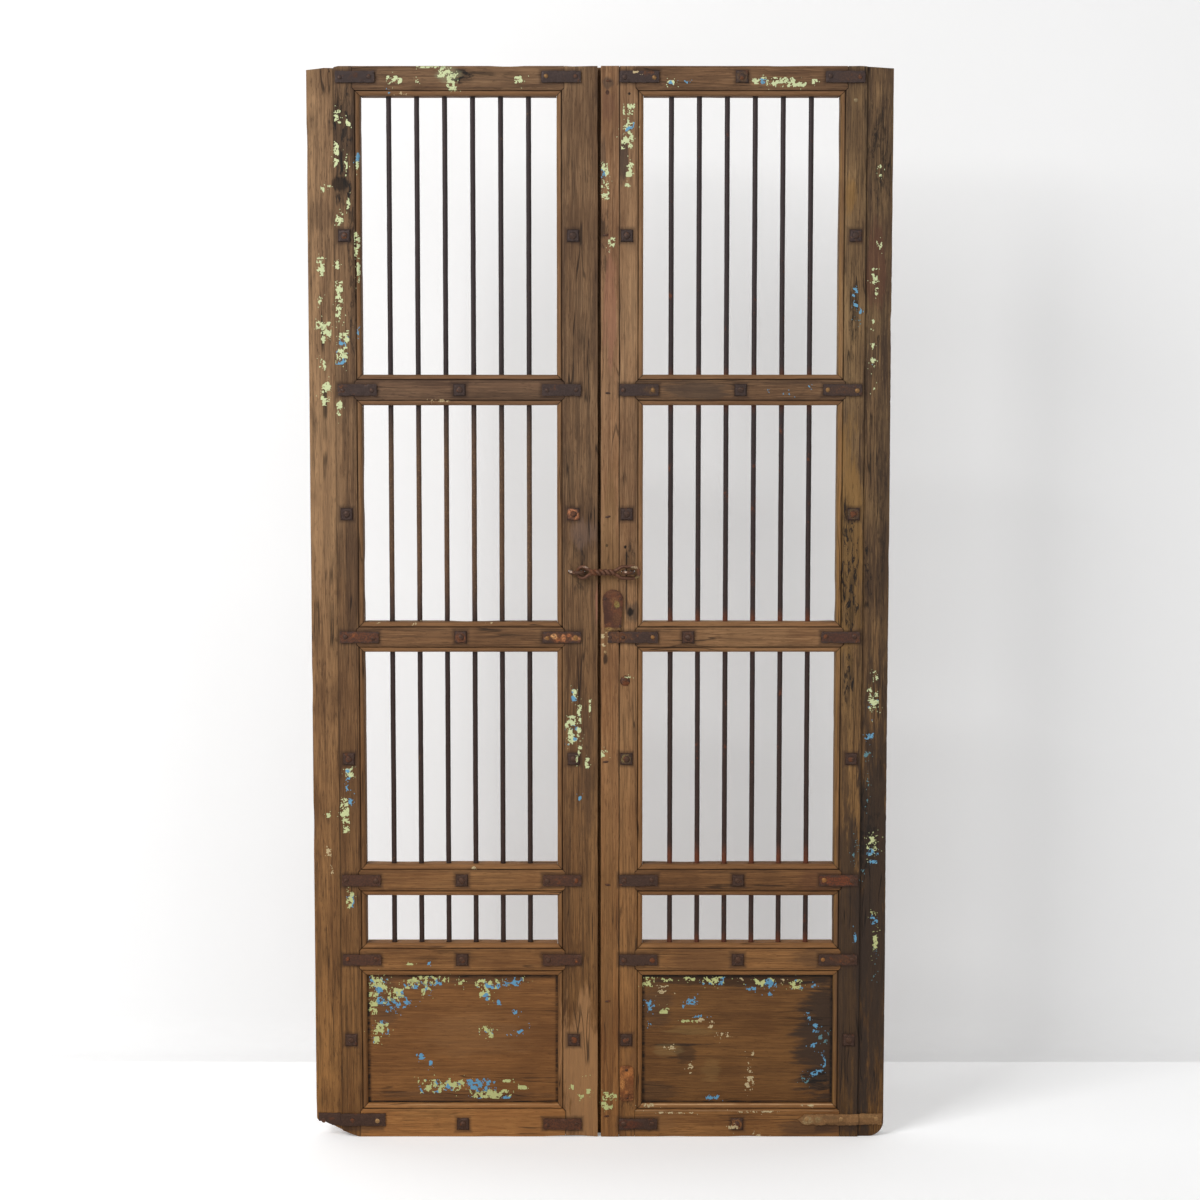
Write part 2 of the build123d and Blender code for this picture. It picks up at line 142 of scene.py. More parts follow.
class Field:
    """A value that varies over a surface. A sum written with it adds the Math nodes."""

    def __init__(self, finish, socket):
        self.finish = finish
        self.socket = socket

    def maths(self, operation, *values):
        made = self.finish.node("Math", {"operation": operation}, dict(enumerate(values)))
        return Field(self.finish, made.outputs[0])

    def __add__(self, other):
        return self.maths("ADD", self, other)

    __radd__ = __add__

    def __mul__(self, other):
        return self.maths("MULTIPLY", self, other)

    __rmul__ = __mul__

    def __sub__(self, other):
        return self.maths("SUBTRACT", self, other)

    def __rsub__(self, other):
        return self.maths("SUBTRACT", other, self)

    def ramp(self, low, high):
        """Rise smoothly from 0 at low to 1 at high."""
        made = self.finish.node(
            "MapRange",
            {"interpolation_type": "SMOOTHSTEP"},
            {"Value": self, "From Min": low, "From Max": high},
        )
        return Field(self.finish, made.outputs[0])

    def fall(self, low, high):
        """Fall smoothly from 1 at low to 0 at high."""
        return 1 - self.ramp(low, high)

    def off(self, middle):
        """Distance from a value, either way."""
        return (self - middle).maths("ABSOLUTE", self - middle)

    def most(self, other):
        return self.maths("MAXIMUM", self, other)

    def least(self, other):
        return self.maths("MINIMUM", self, other)


class Nodes:
    """A node tree, and the one way to add a node to it."""

    def __init__(self, tree):
        self.tree = tree
        self.tree.nodes.clear()

    def node(self, kind, settings=None, sockets=None):
        """Add a node: its settings first, then the values or links of its sockets."""
        made = self.tree.nodes.new("ShaderNode" + kind)
        for key, value in (settings or {}).items():
            setattr(made, key, value)
        for key, value in (sockets or {}).items():
            if isinstance(value, Field):
                value = value.socket
            if isinstance(value, bpy.types.NodeSocket):
                self.tree.links.new(value, made.inputs[key])
            else:
                made.inputs[key].default_value = value
        return made


class Finish(Nodes):
    """One material, and the nodes that it is made of."""

    def __init__(self, name):
        self.material = bpy.data.materials.new(name)
        self.material.use_nodes = True
        super().__init__(self.material.node_tree)
        self.place = self.node("TexCoord").outputs["Object"]
        split = self.node("SeparateXYZ", {}, {"Vector": self.place})
        self.x, self.y, self.z = (Field(self, output) for output in split.outputs)

    def stretch(self, scale, shift):
        """Object coordinates squeezed along a grain and moved, so that two pieces differ."""
        settings = {"Vector": self.place, "Scale": scale, "Location": shift}
        return self.node("Mapping", {}, settings).outputs[0]

    def noise(self, vector, scale, detail=3.0, roughness=0.55, distortion=0.0):
        sockets = {
            "Vector": vector,
            "Scale": scale,
            "Detail": detail,
            "Roughness": roughness,
            "Distortion": distortion,
        }
        return Field(self, self.node("TexNoise", {}, sockets).outputs[0])

    def mix(self, factor, below, above, kind="MIX"):
        """Lay one colour over another where a mask says so."""
        settings = {"data_type": "RGBA", "blend_type": kind}
        # The node's colours go in at sockets 6 and 7 and come out at 2
        return self.node("Mix", settings, {0: factor, 6: below, 7: above}).outputs[2]

    def spot(self, warp, x, z, reach_x, reach_z):
        """A soft-edged patch at a place on the doors, ragged by a warp field."""
        middle, inverse = (x * MM, 0, z * MM), (1 / (reach_x * MM), 0, 1 / (reach_z * MM))
        offset = self.node("VectorMath", {"operation": "SUBTRACT"}, {0: self.place, 1: middle})
        shares = self.node(
            "VectorMath", {"operation": "MULTIPLY"}, {0: offset.outputs[0], 1: inverse}
        )
        length = self.node("VectorMath", {"operation": "LENGTH"}, {0: shares.outputs[0]})
        return (Field(self, length.outputs["Value"]) + warp).fall(0.55, 1.05)

    def nearest(self, axis, middles, half):
        """Distance beyond the nearest of some spans: middles and half width in millimetres."""
        return least_of(axis.off(middle * MM) - half * MM for middle in middles)

    def surface(self, colour, roughness, height=None, depth=1.0, strength=0.5, **fixed):
        """The shader itself, with a bump from a height field."""
        sockets = {"Base Color": colour, "Roughness": roughness}
        for key, value in fixed.items():
            sockets[key.replace("_", " ")] = value
        if height is not None:
            settings = {"Height": height, "Distance": depth * MM, "Strength": strength}
            sockets["Normal"] = self.node("Bump", {}, settings).outputs[0]
        shader = self.node("BsdfPrincipled", {}, sockets)
        self.node("OutputMaterial", {}, {0: shader.outputs[0]})
        return self.material


def least_of(fields):
    """The smallest of some fields, everywhere."""
    return functools.reduce(Field.least, fields)


# Finishes

# Soot, and also painted shade in the mouldings' quirks and lips
SOOT_AND_SHADE = tone(38, 27, 20)
# Cracks and dark joints, and also painted shade along panel edges and beside the strips' steps
CRACK_AND_SHADE = tone(20, 14, 10)
# Iron stain, and also painted contact shade round the straps and roves
IRON_STAIN_AND_SHADE = tone(52, 36, 27)
# A painted highlight on the mouldings' beads
BEAD_HIGHLIGHT = tone(148, 104, 64)
# Pale wear, and also a painted highlight along the bottom rails' beads
PALE_WEAR_AND_HIGHLIGHT = tone(196, 156, 114)
WARM_FOOT = (0.94, 0.71, 0.36, 1.0)
ROT = tone(24, 19, 16)


def iron_stain_and_shade(finish, node, ragged):
    """Where iron stain has seeped round the straps and roves on a piece of wood, with painted
    contact shade.
    """
    leaf = node.split("_")[0]
    strap_columns = [sum(span) / 2 for span in STRAP_SPANS[leaf]]
    rail_rove = LATCH_ROVE if node == "right_lock_rail" else RAIL_ROVES[leaf]
    rail_heights = STRAP_MIDDLES if leaf == "right" else STRAP_MIDDLES[:-1]
    groups = (
        (strap_columns, STRAP_HALF_LENGTH, STRAP_MIDDLES, STRAP_HALF_HEIGHT),
        (ROVE_COLUMNS[leaf], ROVE_HALF, ROVE_HEIGHTS, ROVE_HALF),
        ((rail_rove,), ROVE_HALF, rail_heights, ROVE_HALF),
    )
    halo = least_of(
        finish.nearest(finish.x, columns, half_width).most(
            finish.nearest(finish.z, heights, half_height)
        )
        for columns, half_width, heights, half_height in groups
    )
    return (halo + (ragged - 0.5) * 0.012).fall(-0.001, 0.0075)


def mitre_lines(finish, leaf):
    """Where the mouldings of the stiles meet those of the rails."""
    low_side, high_side = OPENINGS[leaf]
    beside = (low_side - finish.x).most(finish.x - high_side)
    within = None
    for rail, (low, high) in RAIL_EDGES.items():
        depth = finish.z - low if rail == "top_rail" else high - finish.z
        if rail not in ("top_rail", "bottom_rail"):
            depth = depth.least(finish.z - low)
        within = depth if within is None else within.most(depth)
    line = (beside - within).off(0.0).fall(0.0003, 0.0013)
    return line * beside.fall(0.0140, 0.0160) * beside.ramp(0.0, 0.001)


def wood_finish(node, along, tones, seed, edges, spots, strip, borders, calm, cracks):
    """Old hardwood: fibres, pores, soot, grain cracks, stains, painted shade and highlights at
    mouldings.
    """
    finish = Finish(f"wood_{node}")
    dark, middle, light = tones
    shift = (seed * 1.7, seed * 0.9, seed * 2.3)

    def squeezed(share):
        return finish.stretch((1.0, 1.0, share) if along == "z" else (share, 1.0, 1.0), shift)

    grain = squeezed(0.045)
    streak = finish.noise(grain, 74, 6, 0.72, 0.4)
    fibre = finish.noise(squeezed(0.035), 430, 4, 0.72)
    pores = finish.noise(squeezed(0.16), 330, 3, 0.62)
    hairs = finish.noise(squeezed(0.03), 190, 4, 0.7)
    figure = finish.noise(grain, 21, 2, 0.5, 0.8)
    cloud = finish.noise(finish.place, 6.5, 3, 0.55)
    blotch = finish.noise(squeezed(0.3), 26, 5, 0.66)
    ragged = finish.noise(squeezed(0.14), 90, 5, 0.7)
    flecks = finish.noise(squeezed(0.32), 130, 5, 0.68, 0.6)
    warp = (ragged - 0.5) * 2.0 + (blotch - 0.5) * 1.0
    dark_hairs = hairs.fall(0.42, 0.56)
    quiet = 1.0 - calm

    colour = finish.mix(streak.ramp(0.3, 0.62) * (0.55 + 0.45 * quiet) + 0.45 * calm, dark, middle)
    colour = finish.mix(figure.ramp(0.42, 0.66) * (0.2 + 0.25 * quiet), colour, light)
    if strip:
        start, end, low_tone, high_tone = strip
        soft = 0.0006
        inside = finish.x.ramp(start - soft, start + soft) * finish.x.fall(end - soft, end + soft)
        plank = finish.mix(streak.ramp(0.32, 0.66), low_tone, high_tone)
        colour = finish.mix(inside, colour, plank)
    colour = finish.mix(fibre.ramp(0.5, 0.64) * 0.5, colour, light)
    colour = finish.mix(fibre.fall(0.38, 0.5) * 0.5, colour, dark)
    colour = finish.mix(cloud.ramp(0.46, 0.66) * 0.32, colour, light)
    colour = finish.mix(cloud.fall(0.34, 0.5) * 0.42, colour, dark)
    colour = finish.mix(pores.ramp(0.56, 0.68) * 0.55, colour, dark)
    colour = finish.mix(dark_hairs * (0.1 + 0.4 * quiet) * cloud.ramp(0.36, 0.6), colour, SOOT_AND_SHADE)
    colour = finish.mix(blotch.ramp(0.56, 0.74) * 0.6 * quiet, colour, SOOT_AND_SHADE)
    warmth = finish.mix(1.0, colour, WARM_FOOT, "MULTIPLY")
    colour = finish.mix(finish.z.fall(-1.0, 0.55) * 0.85, colour, warmth)

    # Listed stains belong to the front alone
    front = finish.y.fall(-0.003, 0.006)
    for x, z, reach_x, reach_z, stain, strength in spots:
        patch = finish.spot(warp, x, z, reach_x, reach_z) * front
        if stain == ROT:
            patch = patch * (0.2 + flecks.ramp(0.5, 0.58) * 0.75 + dark_hairs * 0.3)
        colour = finish.mix(patch * strength, colour, stain)

    # Dark halos round the straps and roves: iron stain, and painted contact shade
    colour = finish.mix(iron_stain_and_shade(finish, node, ragged) * front * 0.62, colour, IRON_STAIN_AND_SHADE)
    # Mouldings: the paler bead is a painted highlight, and the darker quirk and lip are painted
    # shade
    if edges:
        axis = finish.x if along == "z" else finish.z
        gap = least_of(axis.off(edge) for edge in edges)
        below_face = finish.y.ramp(FACE + 0.0003, FACE + 0.0012) * finish.y.fall(-0.006, -0.004)
        quirk = gap.off(0.0098).fall(0.0005, 0.0018) * below_face
        lip = gap.off(0.0142).fall(0.0003, 0.0014)
        bead = gap.off(0.0045).fall(0.001, 0.006) * below_face
        colour = finish.mix(bead * (0.1 + streak * 0.4), colour, BEAD_HIGHLIGHT)
        colour = finish.mix(quirk * (0.25 + ragged.ramp(0.4, 0.6) * 0.5), colour, SOOT_AND_SHADE)
        colour = finish.mix(lip * ragged.ramp(0.38, 0.6) * 0.45, colour, SOOT_AND_SHADE)
    colour = finish.mix(mitre_lines(finish, node.split("_")[0]) * 0.85, colour, CRACK_AND_SHADE)
    # Lines along edges: painted shade beside mouldings and steps, and painted highlights with pale
    # wear on beads
    for axis, edge, reach, strength, stain in borders:
        line = (finish.x if axis == "x" else finish.z).off(edge)
        patchy = 0.35 + ragged.ramp(0.42, 0.6) * 0.65
        colour = finish.mix(line.fall(reach * 0.25, reach) * patchy * strength, colour, stain)

    split = finish.noise(grain, 24, 3, 0.55, 0.4).off(0.5).fall(0.002, 0.008)
    split = split * finish.noise(finish.place, 8.5, 2).ramp(0.48, 0.58) * cracks
    colour = finish.mix(split, colour, CRACK_AND_SHADE)

    height = streak * 0.35 + fibre * 0.6 + pores.fall(0.5, 0.7) * 0.3 + blotch * 0.2 - split * 1.4
    roughness = 0.6 + streak * 0.2
    fixed = {"Specular_IOR_Level": 0.2}
    return finish.surface(colour, roughness, height, 1.6, 0.6, **fixed)


def iron_finish(name, base, rust, bright, seed, amount, spots=(), bands=()):
    """Forged iron: a dark scaled skin, rust in patches, and small hammer dents."""
    finish = Finish(name)
    shifted = finish.stretch((1, 1, 1), (seed, seed * 0.4, seed * 1.9))
    scale = finish.noise(shifted, 90, 5, 0.65)
    patch = finish.noise(shifted, 34, 4, 0.6)
    grit = finish.noise(shifted, 420, 3, 0.6)
    rusty = (scale * 0.5 + patch * 0.5).ramp(0.62 - 0.2 * amount, 0.72 - 0.2 * amount)
    for middle, reach, strength in bands:
        near = finish.z.off(middle).fall(reach * 0.4, reach)
        rusty = rusty.most(near * (0.35 + scale * 1.1) * strength)
    colour = finish.mix(grit.ramp(0.4, 0.7) * 0.5, base, scaled(base, 1.9))
    colour = finish.mix(rusty * 0.85, colour, rust)
    colour = finish.mix(rusty * grit.ramp(0.54, 0.72) * 0.7, colour, bright)
    warp = (scale - 0.5) * 2.0 + (grit - 0.5) * 0.8
    for x, z, reach_x, reach_z, stain, strength in spots:
        crust = finish.spot(warp, x, z, reach_x, reach_z) * (0.25 + grit.ramp(0.4, 0.62) * 0.75)
        colour = finish.mix(crust * strength, colour, stain)
    warmer = finish.mix(1.0, colour, (1.3, 1.0, 0.74, 1.0), "MULTIPLY")
    colour = finish.mix(finish.z.fall(-0.8, 0.7) * 0.9, colour, warmer)
    height = scale * 0.6 + grit * 0.35 + rusty * 0.3
    roughness = 0.5 + rusty * 0.35
    metallic = 0.45 - rusty * 0.4
    fixed = {"Metallic": metallic, "Specular_IOR_Level": 0.25}
    return finish.surface(colour, roughness, height, 0.9, 0.6, **fixed)


def paint_finish(name, coat, seed, foot=(1.0, 1.0, 1.0, 1.0)):
    """Old flaking paint: chalky, dirty, with worn-through specks, and duller near the foot."""
    finish = Finish(name)
    shifted = finish.stretch((1, 1, 1), (seed, seed, seed))
    dirt = finish.noise(shifted, 210, 4, 0.65)
    fade = finish.noise(shifted, 60, 2)
    colour = finish.mix(fade.ramp(0.3, 0.7) * 0.25, coat, scaled(coat, 0.75))
    colour = finish.mix(dirt.ramp(0.56, 0.7) * 0.6, colour, tone(112, 96, 66))
    duller = finish.mix(1.0, colour, foot, "MULTIPLY")
    colour = finish.mix(finish.z.fall(-0.8, -0.1), colour, duller)
    return finish.surface(colour, 0.55 + dirt * 0.3, dirt, 0.5, 0.5, Specular_IOR_Level=0.3)


# Mesh helpers


def stand(name, shape, materials, smooth=True):
    """Turn a finished shape into an object in the scene."""
    mesh = bpy.data.meshes.new(name)
    shape.to_mesh(mesh)
    shape.free()
    piece = bpy.data.objects.new(name, mesh)
    bpy.context.scene.collection.objects.link(piece)
    for material in materials:
        mesh.materials.append(material)
    for face in mesh.polygons:
        face.use_smooth = smooth
    return piece


def settle(name, shape, body, materials, smooth=True):
    """Turn a finished shape into a piece that rides on a body."""
    piece = stand(name, shape, materials, smooth)
    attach(piece, body)
    return piece


def front_of(body):
    """The surface of all that shows of a leaf so far, to lay paint and nails on."""
    shape = bmesh.new()
    for piece in bpy.context.scene.objects:
        if piece.type == "MESH" and piece.get("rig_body") == body and not piece.hide_render:
            shape.from_mesh(piece.data)
    tree = BVHTree.FromBMesh(shape)
    shape.free()
    return tree


def cut_at(shape, axis, places):
    """Cut a shape across at some places, so that wear can bend its faces."""
    way = Vector((0, 0, 0))
    way[axis] = 1
    for place in places:
        everything = list(shape.verts) + list(shape.edges) + list(shape.faces)
        bmesh.ops.bisect_plane(
            shape, geom=everything, dist=1e-6, plane_co=way * place, plane_no=way
        )


def steps_between(low, high, step):
    """Places between two ends, evenly spaced by about a step."""
    slices = max(1, round((high - low) / step))
    return [low + (high - low) * number / slices for number in range(1, slices)]


def weather(shape, along, seed, wear, chips, pits):
    """Wear every face inwards, chip the arrises, and sink the listed rot."""
    shape.normal_update()
    stretch = Vector((34, 34, 7)) if along == "z" else Vector((7, 34, 34))
    moves = {}
    for vert in shape.verts:
        faces = vert.link_faces
        if not faces:
            continue
        mean = sum((face.normal for face in faces), Vector((0, 0, 0))) / len(faces)
        arris = 1 - mean.length
        point = vert.co * stretch + Vector((seed, seed * 2, seed * 3))
        depth = wear * (0.5 + 0.5 * noise.noise(point))
        if arris > 0.15:
            depth += wear * 0.5 + chips * max(0.0, noise.noise(point * 1.7) - 0.22)
        for x, z, reach_x, reach_z, sink in pits:
            away = math.hypot((vert.co.x / MM - x) / reach_x, (vert.co.z / MM - z) / reach_z)
            if away < 1 and vert.co.y < 0:
                rough = 0.5 + 0.8 * noise.noise(vert.co * 130)
                depth += sink * MM * (1 - away * away) * max(0.0, rough)
        moves[vert] = -vert.normal * depth
    for vert, move in moves.items():
        vert.co += move


def merged_copy(node):
    """A CAD node's shape as whole faces: its loose triangles merged and its flat faces joined."""
    shape = bmesh.new()
    shape.from_mesh(frame["nodes"][node].data)
    bmesh.ops.remove_doubles(shape, verts=shape.verts, dist=2e-5)
    flat = math.radians(0.6)
    bmesh.ops.dissolve_limit(shape, angle_limit=flat, verts=shape.verts, edges=shape.edges)
    return shape


def sharpen(shape, degrees):
    """Split large faces and keep the arrises crisp under smooth shading."""
    bmesh.ops.triangulate(shape, faces=[face for face in shape.faces if len(face.verts) > 4])
    for edge in shape.edges:
        if len(edge.link_faces) == 2:
            edge.smooth = edge.calc_face_angle(0) < math.radians(degrees)


def worn_copy(node, along, seed, step, wear, chips, pits=()):
    """A CAD node's wood as it has aged: sliced, then worn."""
    shape = merged_copy(node)
    low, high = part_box(node)
    length = 2 if along == "z" else 0
    width = 2 - length
    cut_at(shape, length, steps_between(low[length], high[length], step))
    cut_at(shape, width, steps_between(low[width], high[width], step * 1.2))
    weather(shape, along, seed, wear, chips, pits)
    sharpen(shape, 28)
    return shape


def forged_copy(node, rows, columns, seed, dents, bite):
    """A CAD node's iron as forged: dented faces, bitten edges, its seat left where it is."""
    shape = merged_copy(node)
    cut_at(shape, 2, rows)
    cut_at(shape, 0, columns)
    shape.normal_update()
    moves = {}
    for vert in shape.verts:
        faces = vert.link_faces
        if not faces:
            continue
        mean = sum((face.normal for face in faces), Vector((0, 0, 0))) / len(faces)
        depth = dents * (0.5 + noise.noise(vert.co * 130 + Vector((seed, 0, seed))))
        if mean.length < 0.9:
            depth += bite * max(0.0, 0.15 + noise.noise(vert.co * 210 + Vector((0, seed, 0))))
        move = -vert.normal * depth
        if any(face.normal.y > 0.5 for face in faces):
            move.y = 0.0
        moves[vert] = move
    for vert, move in moves.items():
        vert.co += move
    sharpen(shape, 40)
    return shape


def depth_at(surface, x, z):
    """How far back the surface lies at a place seen from the front, or None through an opening."""
    hit = surface.ray_cast(Vector((x, RAY_START, z)), Vector((0, 1, 0)))[0]
    return None if hit is None else hit.y


def hammered(shape, verts, amount, seed):
    """Dent vertices a little, each in its own way."""
    for vert in verts:
        vert.co += noise.noise_vector(vert.co * 140 + Vector((seed, seed, seed))) * amount


def dome(shape, centre, radius, rise, seed, tall=1.0, turn=0.0):
    """Add a hand-peened nail or rivet head, half sunk in what carries it."""
    place = (
        Matrix.Translation(centre)
        @ Matrix.Rotation(turn, 4, "Y")
        @ Matrix.Diagonal((1.0, rise / radius, tall, 1.0))
    )
    upright = place @ Matrix.Rotation(math.pi / 2, 4, "X")
    made = bmesh.ops.create_uvsphere(
        shape, u_segments=14, v_segments=8, radius=radius, matrix=upright
    )
    hammered(shape, made["verts"], radius * 0.16, seed)
    return made["verts"]


def paint_faces(verts, index):
    for vert in verts:
        for face in vert.link_faces:
            face.material_index = index


# Sizes and colours a user may change


class DoorSettings(bpy.types.PropertyGroup):
    """Sizes and colours of the dressed doors."""

    wear: bpy.props.FloatProperty(
        name="Wear", description="How deep the wood's faces have worn",
        default=0.0006, unit="LENGTH"
    )
    chips: bpy.props.FloatProperty(
        name="Chips", description="How deep the chips along the arrises go",
        default=0.004, unit="LENGTH"
    )
    bar_radius: bpy.props.FloatProperty(
        name="Bar radius", description="Radius of the forged bars",
        default=0.00485, unit="LENGTH"
    )
    bar_wobble: bpy.props.FloatProperty(
        name="Bar wobble", description="How far a forged bar strays from round",
        default=0.00025, unit="LENGTH"
    )
    nail_radius: bpy.props.FloatProperty(
        name="Nail radius", description="Radius of the nail heads in the straps",
        default=0.0046, unit="LENGTH"
    )
    paint_thickness: bpy.props.FloatProperty(
        name="Paint thickness", description="Thickness of a flake of old paint",
        default=0.00035, unit="LENGTH"
    )
    lime: bpy.props.FloatVectorProperty(
        name="Lime paint", description="The pale green paint",
        default=tone(198, 206, 158), size=4, subtype="COLOR"
    )
    blue: bpy.props.FloatVectorProperty(
        name="Blue paint", description="The sky-blue paint",
        default=tone(100, 152, 182), size=4, subtype="COLOR"
    )
    cream: bpy.props.FloatVectorProperty(
        name="Cream paint", description="The cream paint",
        default=tone(186, 166, 126), size=4, subtype="COLOR"
    )
    teal: bpy.props.FloatVectorProperty(
        name="Teal paint", description="The dull teal paint",
        default=tone(88, 124, 130), size=4, subtype="COLOR"
    )
    iron: bpy.props.FloatVectorProperty(
        name="Iron", description="Forged iron under its rust",
        default=tone(56, 45, 42), size=4, subtype="COLOR"
    )
    rust: bpy.props.FloatVectorProperty(
        name="Rust", description="Brown rust", default=tone(84, 55, 38), size=4, subtype="COLOR"
    )
    lamp_power: bpy.props.FloatProperty(
        name="Lamp power", description="Power of the main soft lamp", default=172.0, unit="POWER"
    )
    room_light: bpy.props.FloatProperty(
        name="Room light", description="Strength of the even light from all round", default=0.35
    )
    camera_distance: bpy.props.FloatProperty(
        name="Camera distance", description="From the doors' front to the camera",
        default=4.518, unit="LENGTH"
    )
    camera_height: bpy.props.FloatProperty(
        name="Camera height", description="Of the camera over the sill",
        default=1.425, unit="LENGTH"
    )


# Wood

STILE_TONES = (tone(72, 51, 35), tone(110, 82, 57), tone(144, 113, 82))
RAIL_TONES = (tone(74, 52, 37), tone(112, 83, 58), tone(142, 110, 80))
MIDDLE_TONES = (tone(76, 54, 37), tone(116, 85, 59), tone(144, 110, 79))
LOW_RAIL_TONES = (tone(96, 68, 46), tone(136, 102, 72), tone(160, 126, 92))
BOTTOM_TONES = (tone(122, 88, 60), tone(166, 126, 90), tone(188, 150, 110))
UPPER_TONES = (tone(60, 42, 32), tone(96, 70, 52), tone(124, 96, 72))
PANEL_TONES = (tone(94, 66, 44), tone(122, 89, 60), tone(146, 110, 78))
RIGHT_PANEL_TONES = (tone(82, 58, 38), tone(108, 80, 54), tone(132, 101, 70))
HANGING_TONES = (tone(60, 44, 32), tone(114, 88, 60), tone(150, 120, 82))
STRIP_TONES = (tone(94, 65, 44), tone(136, 100, 69), tone(166, 130, 96))

# Colours of stains
GREY_HALO = tone(58, 48, 42)
PINK = tone(146, 100, 78)
# Yellow stain, and also a painted highlight along the right hanging stile's bead
YELLOW = tone(140, 104, 56)
DULL = tone(66, 47, 34)
DEEP = tone(52, 39, 30)
